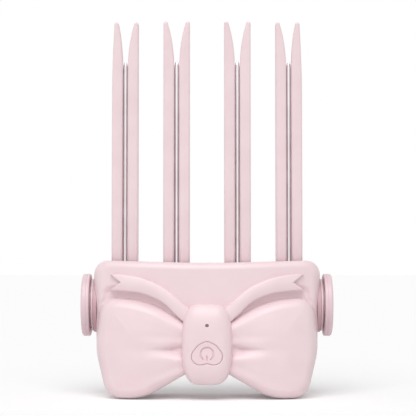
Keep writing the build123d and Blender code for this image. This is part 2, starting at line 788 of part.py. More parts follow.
def inner_frame():
    """Chassis plate with the battery tray, the posts for the board and the two ears for the pin."""
    plate = front_prism(silhouette(wall + fit_gap), frame_front_y, frame_front_y + frame_thickness)
    plate = plate & block((-ear_outer_x, ear_outer_x), (-front_depth, rear_depth), (0, frame_top))
    tray_half = cell_half_width + pad_thickness + fit_gap
    rear_y = frame_front_y + frame_thickness
    tray_low, tray_high = cell_bottom - fit_gap, cell_top + fit_gap
    tray = block((-tray_half - tray_rib, tray_half + tray_rib), (rear_y, rear_y + tray_depth),
                 (tray_low - tray_rib, tray_high + tray_rib))
    tray -= block((-tray_half, tray_half), (rear_y, rear_depth), (tray_low, tray_high))
    frame = plate + (tray & front_prism(silhouette(wall + fit_gap), -front_depth, rear_depth))
    for side in (-1, 1):
        ear_x = sorted((side * ear_inner_x, side * ear_outer_x))
        frame += block(ear_x, (ear_front_y, ear_rear_y), (ear_bottom, comb_plate_bottom))
        shelf_x = sorted((side * ear_inner_x, side * ear_shelf_x))
        frame += block(shelf_x, (ear_shelf_y, ear_rear_y), (ear_shelf_z, comb_plate_bottom))
    for side in (-1, 1):
        frame -= rod_y(lead_radius + fit_gap, -front_depth, cell_thickness, side * lead_x, lead_z)
        notch_x = sorted((side * cell_half_width, side * lead_x))
        frame -= block(notch_x, (lead_cell_y - lead_radius - fit_gap, rear_depth),
                       (lead_z - lead_radius - fit_gap, lead_z + lead_radius + fit_gap))
    for x, z in board_screw_places:
        for side in (-1, 1):
            frame += rod_y(post_radius, board_front_y + board_thickness, frame_front_y, side * x, z)
            frame -= rod_y(board_screw_radius, board_front_y, rear_y - frame_thickness / 2, side * x, z)
    for side in (-1, 1):
        for x, z in case_screw_places:
            frame -= rod_y(case_boss_radius + fit_gap, -front_depth, rear_depth, side * x, z)
        x, z = frame_screw_place
        frame -= rod_y(frame_screw_radius, -front_depth, rear_depth, side * x, z)
        frame -= rod_z(comb_screw_radius, comb_plate_bottom - comb_screw_length, body_end_top,
                       side * comb_screw_x, comb_screw_y())
    bar_space = (wedge_bar_width / 2 + fit_gap, wedge_bar_height / 2 + fit_gap)
    frame -= block((-body_half_width, body_half_width), (parting_y - bar_space[0], parting_y + bar_space[0]),
                   (button_axis_z - bar_space[1], button_axis_z + bar_space[1]))
    return frame - rod_x(pin_radius, -body_half_width, body_half_width, pin_y, pin_z)


def heat_shield():
    """Mica sheet on the tray, between the hot carrier and the battery."""
    z = cell_top + fit_gap + tray_rib
    rear_y = frame_front_y + frame_thickness
    return block((-shield_half_width, shield_half_width), (rear_y, rear_y + tray_depth),
                 (z, z + shield_thickness))


def battery_cell():
    """Flat rechargeable cell with rounded long edges."""
    y = frame_front_y + frame_thickness + pad_thickness
    cell = block((-cell_half_width, cell_half_width), (y, y + cell_thickness),
                 (cell_bottom, cell_top))
    return fillet(cell.edges().filter_by(Axis.X), cell_rounding)


def battery_pads():
    """Foam strips that bed the cell in its tray."""
    y = frame_front_y + frame_thickness
    strip = block((pad_middle_x - pad_half_width, pad_middle_x + pad_half_width), (y, y + pad_thickness),
                  (cell_bottom + pad_margin, cell_top - pad_margin))
    return both_sides(strip)


def battery_leads():
    """Pair of leads from the ends of the cell through the frame to the board."""
    board_y = board_front_y + board_thickness + lead_radius
    corners = ((cell_half_width, lead_cell_y), (lead_x, lead_cell_y), (lead_x, board_y),
               (lead_board_x, board_y))
    route = FilletPolyline(*[(x, y, lead_z) for x, y in corners], radius=lead_bend_radius)
    return both_sides(sweep(Plane(origin=route @ 0, z_dir=route % 0) * Circle(lead_radius), path=route))


def main_board():
    """Circuit board on the frame's posts, behind the power button."""
    board = block((-board_half_width, board_half_width), (board_front_y, board_front_y + board_thickness),
                  (board_bottom, board_top))
    for x, z in board_screw_places:
        for side in (-1, 1):
            board -= rod_y(board_screw_radius, -front_depth, 0, side * x, z)
    return board


def board_components():
    """Controller, charger and coils on the rear of the board."""
    y = board_front_y + board_thickness
    parts = [block((x, x + width), (y, y + thickness), (z, z + height))
             for x, z, width, height, thickness in (controller_chip, charger_chip, boost_choke, heater_driver,
                                                    crystal, fuse)]
    return Part() + parts


def power_switch():
    """Push switch on the board, under the power button's stem."""
    half = switch_size / 2
    body = block((-half, half), (board_front_y - switch_height, board_front_y),
                 (power_z - half, power_z + half))
    return body + rod_y(switch_key_radius, switch_front_y, board_front_y - switch_height, 0, power_z)


def status_led():
    """Surface-mounted lamp on the board, behind the light pipe."""
    return block((-lamp_half_width, lamp_half_width), (lamp_front_y, board_front_y),
                 (lamp_z - lamp_half_height, lamp_z + lamp_half_height))


def usb_c_socket():
    """Charging socket at the board's foot that opens into the arch."""
    shell = SlotOverall(usb_width, usb_thickness)
    bore = SlotOverall(usb_width - 2 * usb_wall, usb_thickness - 2 * usb_wall)
    socket = plan_prism(Pos(0, usb_y) * shell, usb_mouth_z, usb_mouth_z + usb_length)
    socket -= plan_prism(Pos(0, usb_y) * bore, 0, usb_mouth_z + usb_length - usb_back)
    tongue = block((-usb_tongue_half_width, usb_tongue_half_width),
                   (usb_y - usb_tongue_half_thickness, usb_y + usb_tongue_half_thickness),
                   (usb_mouth_z + usb_back, usb_mouth_z + usb_length))
    return socket + tongue


def screw(head_radius, head_height, shank_radius, shank_length):
    """Pan-head screw along Z, head at the top, under-head face at the origin."""
    head = Pos(0, 0, head_height / 2) * Cylinder(head_radius, head_height)
    head = fillet(head.edges().group_by(Axis.Z)[-1], head_height / 3)
    recess = Pos(0, 0, head_height) * Box(head_radius, head_radius / 4, head_height)
    recess += Pos(0, 0, head_height) * Box(head_radius / 4, head_radius, head_height)
    return head - recess + Pos(0, 0, -shank_length / 2) * Cylinder(shank_radius, shank_length)


def case_screws():
    """Four screws that close the housing from the rear."""
    length = case_head_y - case_screw_end_y
    one = Rot(-90, 0, 0) * screw(screw_head_radius, screw_head_height, case_screw_radius, length)
    placed = [Pos(side * x, case_head_y, z) * one for x, z in case_screw_places for side in (-1, 1)]
    return Part() + placed


def board_screws():
    """Four screws that hold the board on the frame's posts."""
    length = frame_front_y + frame_thickness / 2 - board_front_y
    one = Rot(90, 0, 0) * screw(small_head_radius, small_head_height, board_screw_radius, length)
    return Part() + [Pos(side * x, board_front_y, z) * one for x, z in board_screw_places for side in (-1, 1)]


def frame_screws():
    """Two screws that hold the frame in the front shell."""
    x, z = frame_screw_place
    length = frame_thickness + frame_screw_grip
    one = Rot(-90, 0, 0) * screw(screw_head_radius, screw_head_height, frame_screw_radius, length)
    return Part() + [Pos(side * x, frame_front_y + frame_thickness, z) * one for side in (-1, 1)]


def comb_screws():
    """Two screws that hold the comb on the frame's ears."""
    sunk = comb_plate_thickness - small_head_height
    one = screw(small_head_radius, small_head_height, comb_screw_radius, comb_screw_length + sunk)
    top = comb_plate_bottom + sunk
    return Part() + [Pos(side * comb_screw_x, comb_screw_y(), top) * one for side in (-1, 1)]


def heater_flex():
    """Flexible strip with the heaters' wiring, from the carrier down to the board."""
    strip = trace(Polyline(*flex_route), flex_thickness)
    return extrude(Plane.YZ * strip, amount=flex_half_width, both=True)


def name_parts():
    """Every separate piece of the clip by its name."""
    parts = {
        "front_shell": front_shell(), "rear_shell": rear_shell(), "knot_cover": knot_cover(),
        "power_button": power_button(), "button_pad": button_pad(), "led_light_pipe": led_light_pipe(),
        "prong_comb": prong_comb(), "rod_carrier": rod_carrier(), "hinge_pin": hinge_pin(),
        "thermistor": thermistor(), "inner_frame": inner_frame(), "heat_shield": heat_shield(),
        "battery_cell": battery_cell(), "battery_pads": battery_pads(), "battery_leads": battery_leads(),
        "main_board": main_board(), "board_components": board_components(), "power_switch": power_switch(),
        "status_led": status_led(), "usb_c_socket": usb_c_socket(), "heater_flex": heater_flex(),
        "case_screws": case_screws(), "board_screws": board_screws(), "frame_screws": frame_screws(),
        "comb_screws": comb_screws(),
    }
    for number, x in enumerate(pair_places, start=1):
        parts[f"heating_rod_{number}"] = heating_rod(x)
        parts[f"heater_core_{number}"] = heater_core(x)
        parts[f"rod_bush_{number}"] = rod_bush(x)
    right_hand = {
        "button_cap": button_cap(), "plunger": plunger(), "retaining_clip": retaining_clip(),
        "guide_collar": guide_collar(), "return_spring": return_spring(), "torsion_spring": torsion_spring(),
    }
    for name, shape in right_hand.items():
        parts[f"right_{name}"] = shape
        parts[f"left_{name}"] = mirror(shape, about=Plane.YZ)
    return parts


if __name__ == "__main__":
    os.makedirs("parts", exist_ok=True)
    for name, shape in name_parts().items():
        export_step(shape, f"parts/{name}.step")
        box = shape.bounding_box()
        print(name, len(shape.solids()), round(shape.volume, 1), [round(v, 2) for v in (*box.min, *box.max)])
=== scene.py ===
"""Heated root volumizing clip: the look of each piece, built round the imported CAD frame.

Sizes are in millimetres and become metres when a mesh is handed over. +Z is up along the prongs,
the bow faces -Y and +X is to the right of the bow, as in the CAD.
"""

from __future__ import annotations

import logging
import math
from collections.abc import Callable, Sequence
from dataclasses import dataclass
from enum import Enum

import bmesh
import bpy
import numpy as np
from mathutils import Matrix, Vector

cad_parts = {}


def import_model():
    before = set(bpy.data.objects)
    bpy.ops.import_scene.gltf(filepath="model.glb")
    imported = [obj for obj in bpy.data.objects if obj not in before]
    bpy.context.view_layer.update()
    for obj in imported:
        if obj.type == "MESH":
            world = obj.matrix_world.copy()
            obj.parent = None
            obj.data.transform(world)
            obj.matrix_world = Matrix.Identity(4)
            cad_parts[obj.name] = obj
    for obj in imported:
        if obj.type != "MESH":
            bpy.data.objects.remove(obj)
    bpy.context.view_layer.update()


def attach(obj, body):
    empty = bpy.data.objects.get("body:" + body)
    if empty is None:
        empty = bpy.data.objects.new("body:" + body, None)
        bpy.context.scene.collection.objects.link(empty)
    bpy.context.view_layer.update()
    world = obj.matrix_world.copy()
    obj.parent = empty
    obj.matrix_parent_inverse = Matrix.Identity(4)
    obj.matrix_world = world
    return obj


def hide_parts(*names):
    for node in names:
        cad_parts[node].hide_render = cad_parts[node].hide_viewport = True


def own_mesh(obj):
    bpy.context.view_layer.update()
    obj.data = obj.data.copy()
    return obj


LOG = logging.getLogger("clip")
METRES = 0.001
MILLIMETRES = 1.0 / METRES
BEVEL_PROFILE = 0.5
NO_MATERIAL = -1
SPIN_STEPS = 96
SKIN_MERGE = 2e-4
ROUND_MERGE = 1e-3
SLIVER = 1e-5
ALONG_Y = Vector((0.0, 1.0, 0.0))
ALONG_Z = Vector((0.0, 0.0, 1.0))
WHITE = (1.0, 1.0, 1.0, 1.0)

BMesh = bmesh.types.BMesh
Array = np.ndarray
Object = bpy.types.Object
Socket = bpy.types.NodeSocket

# Finishes


class Grain(Enum):
    """How the fine texture of a surface runs."""

    EVEN = (1.0, 1.0, 1.0)
    DRAWN_UP = (1.0, 1.0, 0.04)
    DRAWN_ACROSS = (0.05, 1.0, 1.0)
    LAYERED = (0.3, 0.3, 3.0)


def linear(colour: Sequence[float]) -> tuple[float, float, float, float]:
    """Turns a display colour of 0 to 255 into the linear colour that a shader takes.

    Args:
        colour: red, green and blue.

    Returns:
        Linear red, green, blue and an alpha of one.
    """
    shares = [value / 255.0 for value in colour]
    bent = [share / 12.92 if share <= 0.04045 else ((share + 0.055) / 1.055) ** 2.4
            for share in shares]
    return (bent[0], bent[1], bent[2], 1.0)


def add_node(
    tree: bpy.types.NodeTree,
    kind: str,
    values: dict[str | int, object],
    sources: dict[str | int, Socket],
) -> bpy.types.Node:
    """Adds a node, sets its own sockets and links what feeds it.

    Args:
        tree: the nodes of a material or of the world.
        kind: the node's type, without ShaderNode in front.
        values: constants of its inputs, by name or number.
        sources: outputs of other nodes that feed its inputs, by name or number.

    Returns:
        The node.
    """
    node = tree.nodes.new(f"ShaderNode{kind}")
    for socket, value in values.items():
        node.inputs[socket].default_value = value
    for socket, source in sources.items():
        tree.links.new(source, node.inputs[socket])
    return node


@dataclass(frozen=True)
class Finish:
    """One finish: its colours, its gloss and the size of its texture.

    Patch and grain sizes are in millimetres, and colours are display colours.
    """

    name: str
    colour: tuple[float, float, float]
    patch_colour: tuple[float, float, float]
    roughness: tuple[float, float]
    patch_size: float = 9.0
    grain_size: float = 0.35
    grain_depth: float = 0.01
    grain: Grain = Grain.EVEN
    metallic: float = 0.0
    coat: float = 0.0
    coat_roughness: float = 0.2

    def material(self) -> bpy.types.Material:
        """Builds the node material, or returns it where it is already there.

        Returns:
            The material, with colour patches, uneven gloss and a fine bump on Object coordinates.
        """
        if self.name in bpy.data.materials:
            return bpy.data.materials[self.name]
        made = bpy.data.materials.new(self.name)
        made.use_nodes = True
        made.diffuse_color = linear(self.colour)
        tree = made.node_tree
        shader = tree.nodes["Principled BSDF"]
        shader.inputs["Metallic"].default_value = self.metallic
        shader.inputs["Coat Weight"].default_value = self.coat
        shader.inputs["Coat Roughness"].default_value = self.coat_roughness
        place = add_node(tree, "TexCoord", {}, {}).outputs["Object"]
        patches = self._noise(tree, place, self.patch_size, Grain.EVEN, 2.0)
        grain = self._noise(tree, place, self.grain_size, self.grain, 3.0)
        ramp = add_node(tree, "ValToRGB", {}, {"Fac": patches})
        ends = ((0.35, self.patch_colour), (0.62, self.colour))
        for element, (position, colour) in zip(ramp.color_ramp.elements, ends):
            element.position = position
            element.color = linear(colour)
        joined = add_node(tree, "Math", {}, {0: grain, 1: patches})
        joined.operation = "ADD"
        low, high = self.roughness
        gloss = {"From Min": 0.7, "From Max": 1.3, "To Min": low, "To Max": high}
        spread = add_node(tree, "MapRange", gloss, {"Value": joined.outputs["Value"]})
        depth = {"Distance": self.grain_depth * METRES, "Strength": 1.0}
        bump = add_node(tree, "Bump", depth, {"Height": grain})
        tree.links.new(ramp.outputs["Color"], shader.inputs["Base Color"])
        tree.links.new(spread.outputs["Result"], shader.inputs["Roughness"])
        tree.links.new(bump.outputs["Normal"], shader.inputs["Normal"])
        return made

    def _noise(
        self,
        tree: bpy.types.NodeTree,
        place: Socket,
        size: float,
        grain: Grain,
        detail: float,
    ) -> Socket:
        """Adds a noise pattern of one size.

        Args:
            tree: the material's nodes.
            place: where the pattern is read, in metres.
            size: width of one patch or grain, in millimetres.
            grain: the direction that the pattern is drawn out in.
            detail: octaves of finer noise.

        Returns:
            The noise value, about 0.3 to 0.7.
        """
        turn = add_node(tree, "Mapping", {"Scale": grain.value}, {"Vector": place})
        texture = {"Scale": 1.0 / (size * METRES), "Detail": detail}
        noise = add_node(tree, "TexNoise", texture, {"Vector": turn.outputs["Vector"]})
        return noise.outputs["Fac"]


PINK = Finish("satin_pink", (237, 215, 219), (235, 212, 216), (0.34, 0.42), coat=0.12,
              coat_roughness=0.3, grain_size=0.5, grain_depth=0.004)
PINK_COMB = Finish("smooth_pink_comb", (235, 213, 217), (232, 209, 213), (0.32, 0.4), coat=0.1,
                   coat_roughness=0.3, grain_size=0.45, grain_depth=0.003)
PINK_BUTTON = Finish("satin_pink_button", (236, 212, 216), (232, 207, 212), (0.34, 0.44), coat=0.1,
                     coat_roughness=0.3, grain_size=0.5, grain_depth=0.004)
# Painted shade: the discs' darker pink stands in for the shade on their sideways-facing rims.
SHADED_PINK_DISC = Finish("satin_pink_disc", (226, 201, 207), (222, 196, 202), (0.36, 0.46), coat=0.08,
                   coat_roughness=0.3, grain_size=0.5, grain_depth=0.004)
# Painted shade: the collar's darker rose stands in for the shadow in the gap between each side
# disc and the housing.
SHADED_ROSE_COLLAR = Finish("satin_rose_collar", (200, 166, 172), (194, 159, 165), (0.4, 0.5), coat=0.05,
                     coat_roughness=0.3, grain_size=0.5, grain_depth=0.004)
ROD_STEEL = Finish("polished_rod_steel", (240, 239, 240), (231, 229, 230), (0.05, 0.09),
                   metallic=1.0, grain=Grain.DRAWN_UP, grain_size=0.12, grain_depth=0.002)
PIN_STEEL = Finish("ground_pin_steel", (205, 206, 208), (190, 191, 193), (0.18, 0.28),
                   metallic=1.0, grain=Grain.DRAWN_ACROSS, grain_size=0.15, grain_depth=0.003)
SPRING_STEEL = Finish("drawn_spring_steel", (168, 168, 172), (140, 139, 142), (0.25, 0.4),
                      metallic=1.0, grain_size=0.1, grain_depth=0.004)
SCREW_STEEL = Finish("zinc_screw_steel", (150, 152, 156), (128, 130, 136), (0.3, 0.45),
                     metallic=1.0, grain_size=0.12, grain_depth=0.006)
BLACK_NYLON = Finish("glass_filled_black", (38, 37, 40), (28, 27, 30), (0.5, 0.65),
                     grain_size=0.25, grain_depth=0.02)
GREY_NYLON = Finish("unpainted_grey", (196, 190, 191), (184, 178, 179), (0.45, 0.6),
                    grain_size=0.3, grain_depth=0.015)
CERAMIC = Finish("unglazed_ceramic", (232, 226, 214), (220, 212, 197), (0.6, 0.75),
                 grain_size=0.2, grain_depth=0.015, patch_size=2.0)
MICA = Finish("pressed_mica", (178, 160, 124), (150, 132, 98), (0.35, 0.6), grain=Grain.LAYERED,
              grain_size=0.8, grain_depth=0.03, patch_size=3.0)
BOARD_GREEN = Finish("board_solder_mask", (30, 92, 58), (24, 78, 49), (0.3, 0.42),
                     grain_size=0.3, grain_depth=0.01, patch_size=4.0)
CHIP_BLACK = Finish("moulded_chip", (30, 30, 32), (22, 22, 24), (0.5, 0.62),
                    grain_size=0.12, grain_depth=0.01)
CELL_FOIL = Finish("laminated_foil", (178, 181, 186), (160, 163, 169), (0.3, 0.45),
                   metallic=0.9, grain_size=1.2, grain_depth=0.05, patch_size=5.0)
SOCKET_STEEL = Finish("stamped_socket_steel", (188, 190, 193), (172, 174, 178), (0.25, 0.35),
                      metallic=1.0, grain_size=0.2, grain_depth=0.005)
FOAM = Finish("closed_cell_foam", (56, 55, 58), (44, 43, 46), (0.85, 0.95),
              grain_size=0.3, grain_depth=0.06)
LEAD_RED = Finish("silicone_lead", (160, 34, 32), (142, 28, 27), (0.4, 0.55),
                  grain_size=0.3, grain_depth=0.01)
AMBER_FILM = Finish("polyimide_film", (176, 104, 38), (158, 90, 30), (0.2, 0.3), coat=0.4,
                    coat_roughness=0.1, grain_size=0.6, grain_depth=0.008)
SILICONE = Finish("translucent_silicone", (224, 216, 216), (214, 205, 206), (0.4, 0.55),
                  grain_size=0.4, grain_depth=0.01)
LAMP = Finish("smoked_lamp_lens", (138, 114, 116), (122, 100, 102), (0.2, 0.3), coat=0.3,
              coat_roughness=0.15, grain_size=0.2, grain_depth=0.004)

FINISHED_NODES: tuple[tuple[Finish, tuple[str, ...]], ...] = (
    (BLACK_NYLON, ("rod_carrier",)),
    (GREY_NYLON, ("inner_frame", "left_plunger", "right_plunger")),
    (PIN_STEEL, ("hinge_pin",)),
    (CHIP_BLACK, ("thermistor", "board_components", "power_switch")),
    (MICA, ("heat_shield",)),
    (CELL_FOIL, ("battery_cell",)),
    (FOAM, ("battery_pads",)),
    (LEAD_RED, ("battery_leads",)),
    (BOARD_GREEN, ("main_board",)),
    (LAMP, ("status_led",)),
    (SOCKET_STEEL, ("usb_c_socket",)),
    (AMBER_FILM, ("heater_flex",)),
    (SCREW_STEEL, ("case_screws", "board_screws", "frame_screws", "comb_screws")),
    (CERAMIC, tuple(f"{part}_{number}" for number in range(1, 5)
                    for part in ("heater_core", "rod_bush"))),
    (SPRING_STEEL, tuple(f"{side}_{part}" for side in ("left", "right")
                         for part in ("torsion_spring", "retaining_clip"))),
)

# Mesh helpers


def face_outwards(mesh: BMesh) -> None:
    """Turns the faces of a closed mesh outwards.

    Args:
        mesh: the closed mesh.
    """
    mesh.normal_update()
    bmesh.ops.recalc_face_normals(mesh, faces=mesh.faces[:])
    if mesh.calc_volume(signed=True) < 0.0:
        bmesh.ops.reverse_faces(mesh, faces=mesh.faces[:])


def resize(mesh: BMesh, factor: float) -> None:
    """Scales a whole mesh about the origin."""
    bmesh.ops.scale(mesh, vec=(factor,) * 3, verts=mesh.verts[:])


def place_points(mesh: BMesh, points: Array) -> None:
    """Moves the points of a mesh to new places."""
    for vert, point in zip(mesh.verts, points):
        vert.co = point


def extrude(mesh: BMesh, faces: Sequence[bmesh.types.BMFace], run: Sequence[float]) -> None:
    """Grows a flat sheet of faces into a solid, by moving a copy of it.

    Args:
        mesh: the mesh that holds the sheet.
        faces: the sheet's faces.
        run: how far the copy moves.
    """
    grown = bmesh.ops.extrude_face_region(mesh, geom=faces)["geom"]
    far = [part for part in grown if isinstance(part, bmesh.types.BMVert)]
    bmesh.ops.translate(mesh, vec=run, verts=far)


def wrapped_grid(around: int, along: int, place: Callable[[Array, Array], Array]) -> BMesh:
    """Bends a flat grid into a skin and closes its seams.

    Args:
        around: divisions round the skin.
        along: divisions along it.
        place: gives the points of arrays of shares around and along, in millimetres.

    Returns:
        The skin, with doubled points merged.
    """
    skin = bmesh.new()
    bmesh.ops.create_grid(skin, x_segments=around, y_segments=along, size=0.5)
    flat = np.array([vert.co for vert in skin.verts])
    place_points(skin, place(flat[:, 0] + 0.5, flat[:, 1] + 0.5))
    bmesh.ops.remove_doubles(skin, verts=skin.verts[:], dist=SKIN_MERGE)
    bmesh.ops.dissolve_degenerate(skin, edges=skin.edges[:], dist=SLIVER)
    face_outwards(skin)
    return skin


def join(target: BMesh, *others: BMesh) -> BMesh:
    """Puts other meshes into one and frees them.

    Args:
        target: the mesh that receives the others.
        others: the meshes to put into it.

    Returns:
        The target.
    """
    for other in others:
        carried = bpy.data.meshes.new("carried")
        other.to_mesh(carried)
        other.free()
        target.from_mesh(carried)
        bpy.data.meshes.remove(carried)
    return target


def from_data(data: bpy.types.Mesh) -> BMesh:
    """Copies an object's mesh, in metres, into a mesh in millimetres.

    Args:
        data: the object's mesh.

    Returns:
        The copy.
    """
    mesh = bmesh.new()
    mesh.from_mesh(data)
    resize(mesh, MILLIMETRES)
    return mesh


def mark_sharp(mesh: BMesh, sharp_angle: float) -> None:
    """Shades a mesh smooth but for edges that turn more than an angle in degrees.

    Args:
        mesh: the mesh.
        sharp_angle: the angle.
    """
    mesh.normal_update()
    for face in mesh.faces:
        face.smooth = True
    limit = math.radians(sharp_angle)
    for edge in mesh.edges:
        edge.smooth = not (edge.is_manifold and edge.calc_face_angle(0.0) > limit)


def to_object(
    name: str, mesh: BMesh, finish: Finish | None, sharp_angle: float = 35.0
) -> Object:
    """Makes an object of a mesh in millimetres.

    Args:
        name: the piece's name.
        mesh: its mesh, which is freed.
        finish: its finish, or None where the material comes later.
        sharp_angle: edges that turn more than this many degrees stay sharp.

    Returns:
        The linked object at the origin, in metres.
    """
    resize(mesh, METRES)
    mark_sharp(mesh, sharp_angle)
    data = bpy.data.meshes.new(name)
    mesh.to_mesh(data)
    mesh.free()
    if finish:
        data.materials.append(finish.material())
    made = bpy.data.objects.new(name, data)
    bpy.context.scene.collection.objects.link(made)
    return made


def cut(piece: Object, cutter: Object) -> None:
    """Cuts a piece with a cutter, applies the cut and removes the cutter.

    Args:
        piece: the object to cut.
        cutter: closed shapes that are taken away from it.
    """
    change = piece.modifiers.new("cut", "BOOLEAN")
    change.operation = "DIFFERENCE"
    change.solver = "EXACT"
    change.object = cutter
    bpy.context.view_layer.update()
    seen = piece.evaluated_get(bpy.context.evaluated_depsgraph_get())
    result = bpy.data.meshes.new_from_object(seen)
    piece.modifiers.clear()
    old = piece.data
    piece.data = result
    piece.data.name = piece.name
    bpy.data.meshes.remove(old)
    blade = cutter.data
    bpy.data.objects.remove(cutter)
    bpy.data.meshes.remove(blade)


def put_on(piece: Object, *others: BMesh) -> None:
    """Adds meshes in millimetres to an object and marks the sharp edges of the whole.

    Args:
        piece: the object that receives them.
        others: the meshes, which are freed.
    """
    whole = from_data(piece.data)
    join(whole, *others)
    resize(whole, METRES)
    mark_sharp(whole, 50.0)
    whole.to_mesh(piece.data)
    whole.free()


def box_mesh(low: Sequence[float], high: Sequence[float]) -> BMesh:
    """Makes a closed box between two corners, in millimetres.

    Args:
        low: its lowest corner.
        high: its highest corner.

    Returns:
        The box.
    """
    box = bmesh.new()
    bmesh.ops.create_cube(box, size=1.0)
    sides = [high[axis] - low[axis] for axis in range(3)]
    middle = [(high[axis] + low[axis]) / 2 for axis in range(3)]
    bmesh.ops.scale(box, vec=sides, verts=box.verts[:])
    bmesh.ops.translate(box, vec=middle, verts=box.verts[:])
    return box


def lathe(profile: Sequence[tuple[float, float]], axis: Vector, middle: Vector) -> BMesh:
    """Spins a profile into a closed round piece.

    Args:
        profile: (distance along the axis, radius) from one end to the other, both ends on the
            axis or a closed ring away from it.
        axis: direction of the axis, along X, Y or Z.
        middle: a point on the axis.

    Returns:
        The round piece with outward faces.
    """
    across = ALONG_Z if abs(axis.z) < 0.5 else Vector((1.0, 0.0, 0.0))
    piece = bmesh.new()
    verts = [piece.verts.new(middle + axis * along + across * radius) for along, radius in profile]
    for first, second in zip(verts, verts[1:]):
        piece.edges.new((first, second))
    if profile[0] != profile[-1] and min(profile[0][1], profile[-1][1]) > 0:
        piece.edges.new((verts[-1], verts[0]))
    bmesh.ops.spin(piece, geom=piece.verts[:] + piece.edges[:], axis=axis, cent=middle,
                   angle=math.tau, steps=SPIN_STEPS, use_merge=True)
    bmesh.ops.remove_doubles(piece, verts=piece.verts[:], dist=ROUND_MERGE)
    bmesh.ops.dissolve_degenerate(piece, edges=piece.edges[:], dist=SLIVER)
    face_outwards(piece)
    return piece


def drum(radius: float, length: float, start: Vector) -> BMesh:
    """Makes a plain round blade that runs along Y from its start."""
    profile = [(0.0, 0.0), (0.0, radius), (length, radius), (length, 0.0)]
    return lathe(profile, ALONG_Y, start)


def arc(
    middle: tuple[float, float], radius: float, start: float, end: float, steps: int = 5
) -> list[tuple[float, float]]:
    """Points of an arc in a profile.

    Args:
        middle: the arc's centre as (along, radius).
        radius: the arc's radius.
        start: first angle in degrees, 0 along the axis and 90 outwards.
        end: last angle in degrees.
        steps: number of chords.

    Returns:
        The arc's points.
    """
    turns = [math.radians(start + (end - start) * step / steps) for step in range(steps + 1)]
    return [(middle[0] + radius * math.cos(turn), middle[1] + radius * math.sin(turn))
            for turn in turns]


class Outline:
    """Closed front-view outline through rounded corners, in X and Z."""

    def __init__(self, corners: Sequence[tuple[float, float, float]], chords: int = 10) -> None:
        """Rounds the corners.

        Args:
            corners: (x, z, corner radius) in order round the outline.
            chords: chords of each rounded corner.
        """
        sheet = bmesh.new()
        verts = [sheet.verts.new((x, 0.0, z)) for x, z, _ in corners]
        sheet.faces.new(verts)
        for vert, (_, _, radius) in zip(verts, corners):
            before, after = (edge.other_vert(vert).co - vert.co for edge in vert.link_edges)
            turn = math.pi - before.angle(after)
            reach = radius * math.tan(turn / 2)
            if reach > 0.02:
                bmesh.ops.bevel(sheet, geom=[vert], offset=reach, offset_type="OFFSET",
                                segments=chords, profile=BEVEL_PROFILE, affect="VERTICES",
                                material=NO_MATERIAL)
        sheet.faces.ensure_lookup_table()
        ring = [loop.vert.co for loop in sheet.faces[0].loops]
        points = np.array([(point.x, point.z) for point in ring])
        sheet.free()
        self.closed = np.vstack([points, points[:1]])
        chord_lengths = np.linalg.norm(np.diff(self.closed, axis=0), axis=1)
        self.lengths = np.concatenate([[0.0], np.cumsum(chord_lengths)])

    def at(self, share: Array) -> Array:
        """Points at shares of the outline's length.

        Args:
            share: shares of 0 to 1.

        Returns:
            The points' x and z.
        """
        run = np.mod(share, 1.0) * self.lengths[-1]
        both = [np.interp(run, self.lengths, self.closed[:, axis]) for axis in (0, 1)]
        return np.stack(both, axis=1)

    def crossing(self, height: float, side: int) -> float:
        """Share of the outline's length at which one of its ends passes a height.

        Args:
            height: the height.
            side: 1 for the right end and -1 for the left one.

        Returns:
            The share.
        """
        for index, (start, end) in enumerate(zip(self.closed[:-1], self.closed[1:])):
            passes = (start[1] - height) * (end[1] - height) <= 0.0 and start[1] != end[1]
            if passes and side * start[0] > 0.0:
                part = (height - start[1]) / (end[1] - start[1])
                run = self.lengths[index] + part * (self.lengths[index + 1] - self.lengths[index])
                return float(run / self.lengths[-1])
        raise ValueError(f"the outline has no end at height {height}")

    def inward(self, share: Array) -> Array:
        """Unit directions that point into the outline at shares of its length.

        Args:
            share: shares of 0 to 1.

        Returns:
            The directions' x and z.
        """
        step = 0.6 / self.lengths[-1]
        run = self.at(share + step) - self.at(share - step)
        run /= np.linalg.norm(run, axis=1, keepdims=True)
        side = np.stack([-run[:, 1], run[:, 0]], axis=1)
        here, following = self.closed[:-1], self.closed[1:]
        area = np.sum(here[:, 0] * following[:, 1] - following[:, 0] * here[:, 1])
        return side if area > 0 else -side

    def depth(self, points: Array) -> Array:
        """Distances to the outline, positive inside it.

        Args:
            points: x and z of each point.

        Returns:
            The signed distances.
        """
        nearest = np.full(len(points), np.inf)
        inside = np.zeros(len(points), dtype=bool)
        for start, end in zip(self.closed[:-1], self.closed[1:]):
            edge = end - start
            length = float(edge @ edge)
            if length < 1e-12:
                continue
            share = np.clip((points - start) @ edge / length, 0.0, 1.0)
            away = points - (start + share[:, None] * edge)
            nearest = np.minimum(nearest, np.einsum("ij,ij->i", away, away))
            if start[1] != end[1]:
                crosses = (start[1] > points[:, 1]) != (end[1] > points[:, 1])
                at_x = start[0] + (points[:, 1] - start[1]) / (end[1] - start[1]) * edge[0]
                inside ^= crosses & (points[:, 0] < at_x)
        return np.sqrt(nearest) * np.where(inside, 1.0, -1.0)

    def reach(self, middle: tuple[float, float], angle: Array) -> Array:
        """Distances from a middle to the outline in given directions.

        Args:
            middle: x and z of the point that looks out.
            angle: directions in radians, 0 along +X and a quarter turn along +Z.

        Returns:
            The distances.
        """
        away = self.closed - np.array(middle)
        angles = np.unwrap(np.arctan2(away[:, 1], away[:, 0]))
        far = np.hypot(away[:, 0], away[:, 1])
        if angles[-1] < angles[0]:
            angles, far = angles[::-1], far[::-1]
        return np.interp(np.mod(angle - angles[0], math.tau) + angles[0], angles, far)


def at_depth(flat: Array, depth: Array) -> Array:
    """Puts points of the front view, in X and Z, at depths in Y."""
    return np.stack([flat[:, 0], depth, flat[:, 1]], axis=1)


def folded(points: Array) -> Array:
    """Mirrors the points on the left of the front view onto the right."""
    return np.stack([np.abs(points[:, 0]), points[:, 1]], axis=1)


